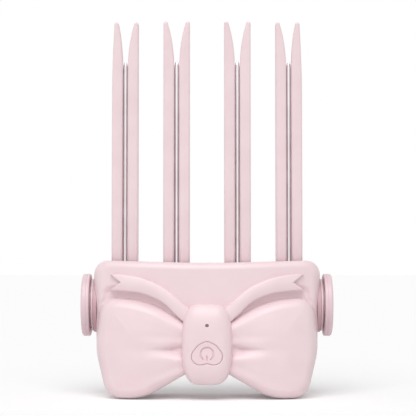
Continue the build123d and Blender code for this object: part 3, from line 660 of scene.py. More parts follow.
def rays(angle: Array) -> Array:
    """Unit directions in X and Z at angles in radians."""
    return np.stack([np.cos(angle), np.sin(angle)], axis=1)


def share_of(ring: Array, first: float, count: float) -> Array:
    """How far each ring of a grid is through a stretch of its rings, from 0 to 1."""
    return np.clip((ring - first) / count, 0.0, 1.0)


def smooth_step(value: Array) -> Array:
    """Eases values of 0 to 1 in and out."""
    held = np.clip(value, 0.0, 1.0)
    return held * held * (3.0 - 2.0 * held)


def eased(value: Array, start: float, run: float) -> Array:
    """Goes smoothly from 0 at a start to 1 a run further on."""
    return smooth_step((value - start) / run)


def bell(offset: Array, width: float | Array) -> Array:
    """Falls off from 1 at no offset, to about a third at one width."""
    return np.exp(-((offset / width) ** 2))


def blunt_rise(share: Array, fullness: float) -> Array:
    """Height share of a cushion's edge, from 0 at its outline to 1 on its top.

    Args:
        share: distance from the outline as a share of the edge's width.
        fullness: 2 for a round edge, more for a fuller one.

    Returns:
        The height shares.
    """
    held = np.clip(share, 0.0, 1.0)
    return (1.0 - (1.0 - held) ** fullness) ** (1.0 / fullness)


def smooth_run(stations: Sequence[tuple[float, float]], share: Array) -> Array:
    """Points of a smooth curve through a few stations.

    Args:
        stations: x and z of each station.
        share: shares of the way from the first station to the last.

    Returns:
        The points' x and z.
    """
    fixed = np.array(stations, dtype=float)
    held = np.vstack([2.0 * fixed[0] - fixed[1], fixed, 2.0 * fixed[-1] - fixed[-2]])
    run = np.clip(share, 0.0, 1.0) * (len(fixed) - 1)
    index = np.minimum(run.astype(int), len(fixed) - 2)
    part = (run - index)[:, None]
    first, second, third, fourth = (held[index + step] for step in range(4))
    slope = third - first
    bend = 2.0 * first - 5.0 * second + 4.0 * third - fourth
    twist = 3.0 * second - first - 3.0 * third + fourth
    return 0.5 * (2.0 * second + slope * part + bend * part**2 + twist * part**3)


def nearer(first: Array, second: Array, blend: float) -> Array:
    """The smaller of two depths, with a soft corner where they meet."""
    gap = np.maximum(blend - np.abs(first - second), 0.0) / blend
    return np.minimum(first, second) - gap * gap * blend / 4.0


# Housing


@dataclass(frozen=True)
class Fold:
    """A fold of the bow that runs out from the knot, sunk where its height is positive."""

    height: float
    level: float
    slope: float
    width: float
    fade: float

    def at(self, z: Array, out: Array) -> Array:
        """Depth of the fold at heights and at distances out from the knot."""
        across = bell(z - self.level - self.slope * out, self.width)
        return self.height * across * np.exp(-out / self.fade)


@dataclass
class Housing:
    """The two halves of the housing, with the bow and its ribbon tails on the front."""

    half_width: float = 39.8
    end_top: float = 47.8
    middle_top: float = 46.7
    arch_height: float = 9.8
    front_depth: float = 12.0
    front_radius: float = 110.0
    rear_depth: float = 12.0
    rear_radius: float = 160.0
    parting: float = 6.15
    wall: float = 2.0
    edge_round: float = 2.6
    side_round: float = 3.9
    side_start: float = 33.0
    side_run: float = 6.0
    spine_half: float = 22.0
    spine_height: float = 26.0
    rim_rise: float = 3.1
    rim_root_rise: float = 1.5
    rim_width: float = 3.5
    crown_rise: float = 1.3
    crown_root_rise: float = 0.5
    crown_width: float = 12.0
    lobe_sink: float = 1.6
    lobe_start: float = 7.0
    lobe_run: float = 16.0
    knot_edge: float = 8.4
    fold_floor: float = 1.95
    fold_edge: float = 3.0
    crease_level: float = 17.45
    pinch_depth: float = 1.9
    pinch_width: float = 1.5
    crease_depth: float = 1.4
    crease_width: float = 0.5
    crease_run: float = 14.0
    below_width: float = 2.2
    root_depth: float = 0.25
    soft_fold_depth: float = 0.3
    recess_depth: float = 1.35
    groove_depth: float = 0.8
    tail_low_rise: float = 1.45
    tail_high_rise: float = 1.35
    tail_crown: float = 0.5
    tail_sink: float = 1.6
    tail_round: float = 0.5
    tail_length: float = 38.0
    notch_share: float = 0.122
    mouth_half_run: float = 2.87
    mouth_radius: float = 1.8
    mouth_y: float = -4.8
    well_radius: float = 2.2
    well_start: float = 9.5
    well_length: float = 9.0
    opening_half_width: float = 5.0
    opening_front: float = 3.6
    opening_rear: float = 2.8
    opening_bottom: float = 42.0
    opening_top: float = 50.5
    button_hole_radius: float = 1.8
    button_hole_length: float = 6.0
    button_hole_start: float = -14.0
    button_height: float = 15.75
    boss_height: float = 32.0
    boss_hole_start: float = 34.6
    around: int = 720
    inner_rings: int = 12
    wall_rings: int = 7
    outer_rings: int = 92
    outer_spacing: float = 1.45

    tail_low_edge = ((33.4, 37.4), (28.6, 37.15), (23.2, 36.5), (17.9, 34.7), (14.1, 32.4),
                     (11.0, 29.3), (7.6, 26.2))
    tail_high_edge = ((33.4, 42.95), (28.4, 42.75), (22.2, 41.55), (15.9, 39.0), (11.6, 36.0),
                      (8.2, 33.0), (4.6, 29.8))
    bulge = Fold(-0.55, 14.7, -0.02, 2.1, 6.5)
    high_fold = Fold(-0.35, 24.4, 0.25, 1.9, 9.0)
    low_fold = Fold(0.4, 11.4, -0.35, 1.6, 7.0)
    screw_places = ((29.0, 8.5), (28.2, 25.8))
    boss_hole = ((0.0, 0.0), (0.0, 7.05), (4.0, 7.05), (4.0, 9.7), (9.0, 9.7), (9.0, 0.0))

    def __post_init__(self) -> None:
        """Makes the outlines that the surfaces share."""
        right = [(5.5, self.arch_height, 4.0), (22.3, 0.0, 16.0), (34.4, 0.0, 7.0),
                 (38.3, 16.0, 25.0), (self.half_width, self.end_top, 5.0)]
        left = [(-x, z, radius) for x, z, radius in reversed(right)]
        self.silhouette = Outline(right + [(0.0, self.middle_top, 400.0)] + left)
        self.lobe = Outline([(5.0, 9.9, 2.5), (22.5, 0.0, 16.0), (34.9, 0.0, 6.8),
                             (38.7, 16.5, 25.0), (37.0, 35.3, 6.5), (20.5, 33.7, 30.0),
                             (5.0, 25.4, 3.0)])

    def front_at(self, x: Array) -> Array:
        """Depth of the plain front face."""
        return self.front_radius - self.front_depth - np.sqrt(self.front_radius**2 - x**2)

    def rear_at(self, x: Array) -> Array:
        """Depth of the rear face, which is hollow to fit the head."""
        return self.rear_radius + self.rear_depth - np.sqrt(self.rear_radius**2 - x**2)

    def rounding(self, points: Array) -> Array:
        """How far the rounded rim falls back behind the face.

        Args:
            points: x and z of each point.

        Returns:
            The distances.
        """
        inside = np.maximum(self.silhouette.depth(points), 0.0)
        side = eased(np.abs(points[:, 0]), self.side_start, self.side_run)
        radius = self.edge_round + (self.side_round - self.edge_round) * side
        short = np.maximum(radius - inside, 0.0)
        return radius - np.sqrt(radius**2 - short**2)

    def folds(self, points: Array) -> Array:
        """Pinched folds of the bow beside the knot, positive where the surface sinks.

        Args:
            points: x and z of each point.

        Returns:
            The depths.
        """
        out = np.maximum(np.abs(points[:, 0]) - self.knot_edge, 0.0)
        z = points[:, 1]
        line = self.crease_level - 0.03 * out - 0.6 * np.exp(-out / 0.8)
        up = np.maximum(z - line, 0.0)
        down = bell(np.minimum(z - line, 0.0), self.below_width)
        pinch = self.pinch_depth * bell(up, self.pinch_width + 0.04 * out) * down
        pinch = pinch * np.exp(-out / 6.5)
        crease = self.crease_depth * bell(up, self.crease_width) * down
        crease = crease * (1.0 - eased(out, 0.0, self.crease_run))
        root = self.root_depth * np.exp(-out / 1.3)
        soft = self.soft_fold_depth * bell(z - 20.9 - 0.06 * out, 1.5)
        soft = soft * (1.0 - eased(out, 6.0, 12.0))
        gathered = pinch + crease + root + self.bulge.at(z, out) + soft
        return gathered + self.high_fold.at(z, out) + self.low_fold.at(z, out)

    def bow_at(self, points: Array) -> Array:
        """Depth of the bow's two lobes, far behind the face outside them.

        Args:
            points: x and z of each point.

        Returns:
            The depths.
        """
        x = np.abs(points[:, 0])
        inside = self.lobe.depth(folded(points))
        face = self.front_at(x)
        out = eased(x, self.lobe_start, self.lobe_run)
        rim = self.rim_root_rise + (self.rim_rise - self.rim_root_rise) * out
        crown = self.crown_root_rise + (self.crown_rise - self.crown_root_rise) * out
        edge = blunt_rise(inside / self.rim_width, 2.0)
        from_edge = eased(inside, 0.0, self.fold_edge)
        surface = face + self.lobe_sink - (rim + self.lobe_sink) * edge
        surface += self.folds(points) * from_edge - crown * eased(inside, 0.0, self.crown_width)
        floor = face + self.fold_floor + self.lobe_sink * (1.0 - from_edge)
        surface = nearer(surface, floor, 0.6)
        return np.where(inside > 0.0, surface, face + self.lobe_sink - inside * 4.0)

    def recess(self, points: Array) -> Array:
        """Hollow in the face round the upper edge and the end of a lobe.

        Args:
            points: x and z of each point.

        Returns:
            The hollow's depths.
        """
        x = np.abs(points[:, 0])
        away = -self.lobe.depth(folded(points))
        under_tail = 1.0 - eased(away, 2.3, 2.6)
        end_groove = bell(away - 0.4, 1.1)
        over_end = eased(x, 33.5, 4.0)
        hollow = self.recess_depth * under_tail * (1.0 - over_end)
        hollow = hollow + self.groove_depth * end_groove * over_end
        near_knot = 0.6 * (1.0 - eased(x, 9.0, 7.0))
        return hollow * (1.0 - near_knot) * (away > -1.5) * eased(points[:, 1], 17.0, 7.0)

    def front_surface(self, points: Array) -> Array:
        """Depth of the whole front, with its rounded rim and the bow."""
        face = self.front_at(points[:, 0]) + self.rounding(points) + self.recess(points)
        return nearer(face, self.bow_at(points), 0.25)

    def inner_surface(self, points: Array) -> Array:
        """Depth of the front half's inside, thicker behind the folds beside the knot.

        Args:
            points: x and z of each point.

        Returns:
            The depths.
        """
        x, z = points[:, 0], points[:, 1]
        from_fold = ((np.abs(x) - 9.5) / 3.0) ** 2 + ((z - 17.4) / 3.0) ** 2
        return self.front_at(x) + self.wall + 0.8 * np.exp(-from_fold)

    def rear_surface(self, points: Array) -> Array:
        """Depth of the whole rear, with its rounded rim."""
        return self.rear_at(points[:, 0]) - self.rounding(points)

    def rim_share(self, u: Array) -> Array:
        """Shares of the silhouette so that the upper half takes the first half of the grid.

        Args:
            u: shares round the grid, from the middle of the right end.

        Returns:
            Shares of the silhouette's length.
        """
        right, left = (self.silhouette.crossing(self.spine_height, side) for side in (1, -1))
        span = (left - right) % 1.0
        return right + np.where(u < 0.5, span * 2.0 * u, span + (1.0 - span) * (2.0 * u - 1.0))

    def skin(
        self, surface: Callable[[Array], Array], inner: Callable[[Array], Array]
    ) -> BMesh:
        """Closed shell between an outer and an inner surface, open at the parting plane.

        Args:
            surface: depth of the outer surface at points of the front view.
            inner: depth of the inner surface.

        Returns:
            The shell.
        """
        inner_rings, wall_rings = self.inner_rings, self.wall_rings
        total = inner_rings + wall_rings + self.outer_rings

        def place(u: Array, v: Array) -> Array:
            """Places the shell's points, from the inside over the rim to the outside.

            Args:
                u: shares round the grid.
                v: shares along it.

            Returns:
                The points.
            """
            ring = v * total
            share = self.rim_share(u)
            rim = self.silhouette.at(share)
            inward = self.silhouette.inward(share)
            inner_rim = rim + inward * self.wall
            along_spine = self.spine_half * (np.abs(4.0 * u - 2.0) - 1.0)
            heart = np.stack([along_spine, np.full(len(u), self.spine_height)], axis=1)
            inner_share = np.clip((inner_rings - 2 - ring) / (inner_rings - 2), 0.0, 1.0)
            inner_points = inner_rim + (heart - inner_rim) * inner_share[:, None]
            inner_depth = np.where(ring <= inner_rings - 2, inner(inner_points), self.parting)
            rim_front = surface(rim + inward * 1e-3)
            wall_share = share_of(ring, inner_rings, wall_rings)
            wall_depth = self.parting + (rim_front - self.parting) * wall_share
            outer_share = np.clip((ring - inner_rings - wall_rings) / self.outer_rings, 0.0, 1.0)
            outer_points = rim + (heart - rim) * (outer_share**self.outer_spacing)[:, None]
            outer_depth = surface(outer_points)
            is_inner = ring < inner_rings - 0.5
            is_wall = ~is_inner & (ring <= inner_rings + wall_rings + 1e-6)
            flat = np.where(is_wall[:, None], rim, outer_points)
            flat = np.where(is_inner[:, None], inner_points, flat)
            depth = np.where(is_wall, wall_depth, outer_depth)
            depth = np.where(is_inner, inner_depth, depth)
            return at_depth(flat, depth)

        return wrapped_grid(self.around, total, place)

    def tail_points(self, along: Array, across: Array, level: Array) -> Array:
        """Places the points of the right ribbon tail.

        Args:
            along: shares of its length, from the notched end to the knot.
            across: shares of its width, from the lower edge to the upper one.
            level: 0 on its rear and 1 on its front.

        Returns:
            The points, in millimetres.
        """
        notch = self.notch_share * (1.0 - np.abs(2.0 * across - 1.0))
        run = notch + (1.0 - notch) * along
        low, high = smooth_run(self.tail_low_edge, run), smooth_run(self.tail_high_edge, run)
        flat = low + (high - low) * across[:, None]
        width = np.linalg.norm(high - low, axis=1)
        from_end = (run - notch) * self.tail_length * 0.6
        from_edge = np.minimum(np.minimum(across, 1.0 - across) * width, from_end)
        short = np.maximum(self.tail_round - from_edge, 0.0)
        rise = self.tail_low_rise + (self.tail_high_rise - self.tail_low_rise) * across
        rise = rise + self.tail_crown * np.sin(np.pi * across)
        proud = rise - self.tail_round + np.sqrt(self.tail_round**2 - short**2)
        depth = self.front_at(flat[:, 0]) - np.where(level > 0.5, proud, -self.tail_sink)
        return at_depth(flat, depth)

    def tail(self, side: int) -> BMesh:
        """One ribbon tail of the bow, raised on the front.

        Args:
            side: 1 for the right tail and -1 for the left one.

        Returns:
            The tail, with a round edge and a notched end.
        """
        ribbon = bmesh.new()
        bmesh.ops.create_grid(ribbon, x_segments=96, y_segments=24, size=0.5)
        extrude(ribbon, ribbon.faces[:], (0.0, 0.0, 1.0))
        flat = np.array([vert.co for vert in ribbon.verts])
        spread = 2.0 * flat[:, 1]
        crowded = 1.0 - (1.0 - np.minimum(np.abs(spread), 1.0)) ** 1.8
        across = 0.5 + 0.5 * np.sign(spread) * crowded
        along = np.clip(flat[:, 0] + 0.5, 0.0, 1.0) ** 1.6
        place_points(ribbon, self.tail_points(along, across, flat[:, 2]) * (side, 1.0, 1.0))
        face_outwards(ribbon)
        return ribbon

    def build_front(self) -> Object:
        """The front half, with the bow and the openings for the rods and the buttons.

        Returns:
            The front half.
        """
        front = self.skin(self.front_surface, self.inner_surface)
        shell = to_object("front_housing", front, PINK, 50.0)
        blades = self.cutter_mesh()
        start = Vector((0.0, self.button_hole_start, self.button_height))
        join(blades, drum(self.button_hole_radius, self.button_hole_length, start))
        cut(shell, to_object("front_blades", blades, PINK))
        put_on(shell, self.tail(1), self.tail(-1))
        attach(shell, "root")
        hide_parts("front_shell")
        return shell

    def build_rear(self) -> Object:
        """The rear half, with its four screw recesses.

        Returns:
            The rear half.
        """
        rear = self.skin(self.rear_surface,
                         lambda points: self.rear_at(points[:, 0]) - self.wall)
        shell = to_object("rear_housing", rear, PINK, 50.0)
        blades = self.cutter_mesh()
        for x, z in self.screw_places:
            for side in (-1, 1):
                start = Vector((side * x, self.well_start, z))
                join(blades, drum(self.well_radius, self.well_length, start))
        cut(shell, to_object("rear_blades", blades, PINK))
        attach(shell, "root")
        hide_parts("rear_shell")
        return shell

    def cutter_mesh(self) -> BMesh:
        """Blades for the rods' openings, the buttons' holes and the charging opening.

        Returns:
            The blades.
        """
        blades = bmesh.new()
        for x in Comb.pair_places:
            row = Comb.row_at(x)
            low = (x - self.opening_half_width, row - self.opening_front, self.opening_bottom)
            high = (x + self.opening_half_width, row + self.opening_rear, self.opening_top)
            join(blades, box_mesh(low, high))
        for side in (-1, 1):
            start = Vector((side * self.boss_hole_start, self.parting, self.boss_height))
            join(blades, lathe(self.boss_hole, Vector((side, 0.0, 0.0)), start))
        join(blades, self.socket_blade())
        return blades

    def socket_blade(self) -> BMesh:
        """Blade with round ends for the charging opening in the arch.

        Returns:
            The blade.
        """
        end = arc((self.mouth_half_run, 0.0), self.mouth_radius, -90.0, 90.0, 12)
        ring = end + [(-x, -y) for x, y in end]
        blade = bmesh.new()
        face = blade.faces.new([blade.verts.new((x, y + self.mouth_y, 6.0)) for x, y in ring])
        extrude(blade, [face], (0.0, 0.0, 8.0))
        face_outwards(blade)
        return blade


# Knot, heart button and lamp


@dataclass
class Knot:
    """The knot of the bow, with the heart-shaped power button and the lamp."""

    half_width: float = 8.6
    waist_half_width: float = 7.8
    bottom: float = 5.2
    top: float = 32.8
    front: float = -17.15
    seat: float = -9.5
    rise: float = 4.2
    squareness: float = 3.8
    fullness: float = 3.4
    gap: float = 0.22
    gap_depth: float = 0.5
    window_sink: float = 0.12
    window_round: float = 0.25
    face_spacing: float = 1.7
    button_middle: tuple[float, float] = (0.0, 15.95)
    button_edge: float = 0.22
    button_depth: float = 2.8
    button_play: float = 0.03
    fine_radius: float = 2.75
    fine_share: float = 0.45
    ring_radius: float = 2.2
    line: float = 0.46
    groove: float = 0.5
    groove_ease: float = 0.14
    mouth_half_angle: float = 31.0
    bar_top: float = -0.75
    bar_bottom: float = -2.3
    lamp_height: float = 25.5
    lamp_radius: float = 0.68
    lamp_round: float = 0.12

    def __post_init__(self) -> None:
        """Makes the outline of the heart."""
        right = [(0.0, 12.95, 1.2), (2.25, 12.3, 2.0), (4.5, 12.6, 2.8), (5.45, 15.3, 2.5),
                 (4.35, 17.3, 3.0)]
        left = [(-x, z, radius) for x, z, radius in reversed(right[1:])]
        self.heart = Outline(right + [(0.0, 20.65, 2.2)] + left, chords=14)

    def boundary_share(self, points: Array) -> Array:
        """How near each point is to the knot's outline: 0 in the middle and 1 on it.

        Args:
            points: x and z of each point.

        Returns:
            The shares.
        """
        middle = (self.top + self.bottom) / 2
        tall = np.abs(points[:, 1] - middle) / ((self.top - self.bottom) / 2)
        half = self.half_width - (self.half_width - self.waist_half_width) * tall**2
        wide = np.abs(points[:, 0]) / half
        return (wide**self.squareness + tall**self.squareness) ** (1.0 / self.squareness)

    def surface(self, points: Array) -> Array:
        """Depth of the knot's cushioned front.

        Args:
            points: x and z of each point.

        Returns:
            The depths.
        """
        near = np.clip(self.boundary_share(points), 0.0, 1.0)
        dome = (1.0 - near**self.fullness) ** 0.5
        return self.front + self.rise * (1.0 - dome)

    def outer_reach(self, angle: Array) -> Array:
        """Distance from the button's middle to the knot's outline.

        Args:
            angle: directions in radians.

        Returns:
            The distances.
        """
        low, high = np.zeros(len(angle)), np.full(len(angle), 25.0)
        ray = rays(angle)
        for _ in range(30):
            tried = (low + high) / 2
            points = ray * tried[:, None] + np.array(self.button_middle)
            inside = self.boundary_share(points) < 1.0
            low, high = np.where(inside, tried, low), np.where(inside, high, tried)
        return (low + high) / 2

    def build(self) -> Object:
        """The knot as a closed cover with the button's window.

        Returns:
            The knot.
        """
        rear_rings, wall_rings, front_rings, window_rings = 4, 6, 44, 6
        total = rear_rings + wall_rings + front_rings + window_rings

        def place(u: Array, v: Array) -> Array:
            """Places the knot's points, from the rear over the front into the window.

            Args:
                u: shares round the grid.
                v: shares along it.

            Returns:
                The points.
            """
            angle = u * math.tau
            far = self.outer_reach(angle)
            near = self.heart.reach(self.button_middle, angle) + self.gap
            ring = v * total
            rear = np.clip(ring / rear_rings, 0.0, 1.0)
            wall = share_of(ring, rear_rings, wall_rings)
            face = np.clip((ring - rear_rings - wall_rings) / front_rings, 0.0, 1.0)
            window = ring - rear_rings - wall_rings - front_rings
            window = np.clip(window / window_rings, 0.0, 1.0)
            out = near + (far - near) * rear
            out = out - (far - near) * face**self.face_spacing
            points = rays(angle) * out[:, None] + np.array(self.button_middle)
            level = self.surface(points)
            sink = self.window_sink
            from_window = np.clip((out - near) / self.window_round, 0.0, 1.0)
            wall_depth = self.seat + (self.front + self.rise - self.seat) * wall
            face_depth = level + sink * (1.0 - from_window) ** 2
            depth = np.where(face > 0, face_depth, wall_depth)
            window_depth = level + sink + (self.seat - level - sink) * window
            depth = np.where(window > 0, window_depth, depth)
            return at_depth(points, depth)

        knot = to_object("bow_knot", wrapped_grid(360, total, place), PINK, 60.0)
        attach(knot, "root")
        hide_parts("knot_cover")
        return knot

    def symbol(self, points: Array) -> Array:
        """Depth of the power symbol's grooves at points of the button's face.

        Args:
            points: x and z of each point.

        Returns:
            The grooves' depths.
        """
        across = points[:, 0] - self.button_middle[0]
        up = points[:, 1] - self.button_middle[1]
        radius = np.hypot(across, up)
        turn = np.degrees(np.arctan2(np.abs(across), -up))
        half = self.line / 2
        ring_gap = np.abs(radius - self.ring_radius)
        mouth = (self.mouth_half_angle - turn) * math.pi / 180.0 * self.ring_radius
        ring_gap = np.maximum(ring_gap, mouth + half)
        bar_gap = np.hypot(across, up - np.clip(up, self.bar_bottom, self.bar_top))
        gap = np.minimum(ring_gap, bar_gap)
        return self.groove * smooth_step((half + self.groove_ease / 2 - gap) / self.groove_ease)

    def build_button(self) -> Object:
        """The heart button with its grooved symbol and the stem to the switch.

        Returns:
            The button.
        """
        back_rings, side_rings, edge_rings, face_rings = 2, 8, 6, 62
        total = back_rings + side_rings + edge_rings + face_rings
        edge = self.button_edge
        rear = self.front + self.button_depth
        foot = self.gap - self.button_play
        circle, fine = self.fine_radius, self.fine_share
        step_low, step, step_high = 0.5, 0.55, 0.625

        def place(u: Array, v: Array) -> Array:
            """Places the button's points, from the rear over the flange to the middle of the face.

            Args:
                u: shares round the grid.
                v: shares along it.

            Returns:
                The points.
            """
            angle = u * math.tau
            heart = self.heart.reach(self.button_middle, angle)
            ring = v * total
            back = np.clip(ring / back_rings, 0.0, 1.0)
            side = share_of(ring, back_rings, side_rings)
            turn = np.clip((ring - back_rings - side_rings) / edge_rings, 0.0, 1.0) * math.pi / 2
            face = np.clip((ring - back_rings - side_rings - edge_rings) / face_rings, 0.0, 1.0)
            inner = heart - edge
            run = np.where(face < fine, inner + (circle - inner) * face / fine,
                           circle * (1.0 - (face - fine) / (1.0 - fine)))
            out = np.where(face > 0, run, heart - edge * (1.0 - np.cos(turn)))
            out = np.where(side < step, heart + foot, out)
            out = np.where(ring < back_rings, (heart + foot) * back, out)
            points = rays(angle) * out[:, None] + np.array(self.button_middle)
            level = self.surface(points)
            flange = level + self.gap_depth
            climb = np.where(
                side < step,
                rear + (flange - rear) * np.clip(side / step_low, 0.0, 1.0),
                flange + (level + edge - flange) * share_of(side, step_high, 1.0 - step_high),
            )
            depth = np.where(ring < back_rings, rear, climb)
            depth = np.where(turn > 0, level + edge * (1.0 - np.sin(turn)), depth)
            depth = np.where(face > 0, level + self.symbol(points), depth)
            return at_depth(points, depth)

        button = wrapped_grid(288, total, place)
        stem = [(0.0, 0.0), (0.0, 1.5), (4.7, 1.5), (4.9, 1.3), (4.9, 0.0)]
        middle = Vector((self.button_middle[0], rear - 0.2, self.button_middle[1]))
        join(button, lathe(stem, ALONG_Y, middle))
        made = to_object("heart_button", button, PINK_BUTTON, 50.0)
        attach(made, "power_key")
        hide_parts("power_button")
        return made

    def build_lamp(self) -> Object:
        """The lamp's lens in the knot, with the light pipe behind it.

        Returns:
            The lens and its pipe.
        """
        level = float(self.surface(np.array([[0.0, self.lamp_height]]))[0])
        radius, flange = self.lamp_radius, 1.1
        lens = arc((0.15, radius - self.lamp_round), self.lamp_round, 180.0, 90.0)
        profile = [(0.0, 0.0), *lens, (5.0, radius), (5.0, flange), (6.0, flange), (6.0, radius),
                   (8.2, radius), (8.2, 0.0)]
        start = Vector((0.0, level - 0.06, self.lamp_height))
        lamp = to_object("lamp_lens", lathe(profile, ALONG_Y, start), LAMP)
        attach(lamp, "root")
        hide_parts("led_light_pipe")
        return lamp


# Comb and rods


@dataclass
class Comb:
    """The eight flat prongs on their plate, and the four rods in their slots."""

    prong_width: float = 3.8
    slot: float = 1.75
    depth: float = 5.0
    tip_depth: float = 3.2
    tip_width: float = 1.6
    height: float = 132.05
    taper_start: float = 114.0
    taper_bend: float = 2.4
    leaf_start: float = 108.0
    leaf_lean: float = 0.75
    leaf_bend: float = 1.6
    thin_start: float = 68.0
    thin_bend: float = 1.3
    chamfer: float = 0.75
    plate_bottom: float = 42.3
    plate_thickness: float = 2.2
    plate_half_length: float = 36.2
    plate_half_depth: float = 6.4
    plate_end_loss: float = 2.6
    slot_front: float = 3.6
    slot_rear: float = 1.3
    rod_radius: float = 0.84
    rod_bore: float = 0.59
    rod_foot: float = 34.9
    rod_foot_round: float = 0.05
    rod_tip: float = 118.1
    rod_point: float = 2.6

    row_radius = 200.0
    pair_places = (-28.9, -10.7, 10.7, 28.9)

    @classmethod
    def row_at(cls, x: float) -> float:
        """Depth of the row of prongs at a place along the clip."""
        return cls.row_radius - math.sqrt(cls.row_radius**2 - x**2)

    def prong_ring(self, outermost: bool) -> list[tuple[float, float]]:
        """Front view of a right prong, from its foot round the tip, in x and z.

        Args:
            outermost: true for a prong at the end of the row, whose outer side leans in.

        Returns:
            The outline's points.
        """
        inner, outer = self.slot / 2, self.slot / 2 + self.prong_width
        base = self.plate_bottom + 0.6
        shares = [step / 10 for step in range(11)]
        lean = self.leaf_lean if outermost else 0.0
        half_tip = self.tip_width / 2
        shoulder = self.height - half_tip
        tip_in = outer - lean - self.tip_width
        rise = [(inner + (tip_in - inner) * share**self.taper_bend,
                 self.taper_start + (shoulder - self.taper_start) * share) for share in shares]
        cap = arc((tip_in + half_tip, shoulder), half_tip, 180.0, 0.0, 8)[1:-1]
        fall = [(outer, shoulder)]
        if outermost:
            fall = [(outer - lean * share**self.leaf_bend,
                     self.leaf_start + (shoulder - self.leaf_start) * share)
                    for share in reversed(shares)]
        return [(inner, base), *rise, *cap, *fall, (outer, base)]

    def prong(self, x: float, side: int) -> BMesh:
        """One prong of a pair.

        Args:
            x: middle of the pair.
            side: 1 for its right prong and -1 for its left one.

        Returns:
            The prong with chamfered edges and a rounded tip.
        """
        ring = self.prong_ring(abs(x) > 20.0 and side * x > 0)
        prong = bmesh.new()
        half = self.depth / 2
        face = prong.faces.new([prong.verts.new((px, -half, pz)) for px, pz in ring])
        extrude(prong, [face], (0.0, self.depth, 0.0))
        rims = [edge for edge in prong.edges
                if abs(edge.verts[0].co.y - edge.verts[1].co.y) < 1e-6]
        bmesh.ops.bevel(prong, geom=rims, offset=self.chamfer, offset_type="OFFSET", segments=3,
                        profile=BEVEL_PROFILE, affect="EDGES", material=NO_MATERIAL,
                        clamp_overlap=True)
        for level in np.linspace(70.0, 131.0, 24):
            bmesh.ops.bisect_plane(prong, geom=prong.verts[:] + prong.edges[:] + prong.faces[:],
                                   plane_co=(0.0, 0.0, float(level)), plane_no=ALONG_Z)
        thinned = 1.0 - self.tip_depth / self.depth
        for vert in prong.verts:
            share = (vert.co.z - self.thin_start) / (self.height - self.thin_start)
            share = min(max(share, 0.0), 1.0)
            vert.co.y *= 1.0 - thinned * share**self.thin_bend
            vert.co.x = x + side * vert.co.x
            vert.co.y += self.row_at(x)
        face_outwards(prong)
        return prong

    def plate(self) -> BMesh:
        """The curved plate under the housing's top that the prongs stand on.

        Returns:
            The plate.
        """
        strip = bmesh.new()
        bmesh.ops.create_grid(strip, x_segments=60, y_segments=1, size=0.5)
        for vert in strip.verts:
            x = vert.co.x * 2 * self.plate_half_length
            half = self.plate_half_depth - self.plate_end_loss * (x / self.plate_half_length) ** 2
            y = 1.6 + self.row_at(x) * 1.1 + vert.co.y * 2 * half
            vert.co = (x, y, self.plate_bottom)
        extrude(strip, strip.faces[:], (0.0, 0.0, self.plate_thickness))
        face_outwards(strip)
        return strip

    def build(self) -> Object:
        """The prongs on their plate as one moulding.

        Returns:
            The moulding.
        """
        plate = to_object("comb_prongs", self.plate(), PINK_COMB, 30.0)
        blades = bmesh.new()
        for x in self.pair_places:
            row = self.row_at(x)
            join(blades, box_mesh((x - self.slot / 2, row - self.slot_front, 41.0),
                                  (x + self.slot / 2, row + self.slot_rear, 46.0)))
        cut(plate, to_object("comb_blades", blades, PINK_COMB))
        comb = from_data(plate.data)
        bpy.data.objects.remove(plate)
        for x in self.pair_places:
            for side in (-1, 1):
                join(comb, self.prong(x, side))
        made = to_object("comb_prongs", comb, PINK_COMB, 30.0)
        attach(made, "root")
        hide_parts("prong_comb")
        return made

    def build_rod(self, number: int, x: float) -> Object:
        """One polished tube with a round tip.

        Args:
            number: the rod's number from the left.
            x: its place along the clip.

        Returns:
            The rod.
        """
        radius, bore, small = self.rod_radius, self.rod_bore, self.rod_foot_round
        shoulder = self.rod_tip - self.rod_point
        turns = [math.radians(90.0 * step / 12) for step in range(1, 12)]
        profile = [(shoulder, 0.0), (shoulder, bore), (self.rod_foot, bore),
                   (self.rod_foot, radius - small), (self.rod_foot + small, radius)]
        profile += [(level, radius) for level in np.linspace(44.0, shoulder, 12)]
        profile += [(shoulder + self.rod_point * math.sin(turn), radius * math.cos(turn))
                    for turn in turns]
        profile.append((self.rod_tip, 0.0))
        rod = lathe(profile, ALONG_Z, Vector((x, self.row_at(x), 0.0)))
        made = to_object(f"steel_rod_{number}", rod, ROD_STEEL, 50.0)
        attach(made, "rod_carriage")
        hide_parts(f"heating_rod_{number}")
        return made


# Side buttons


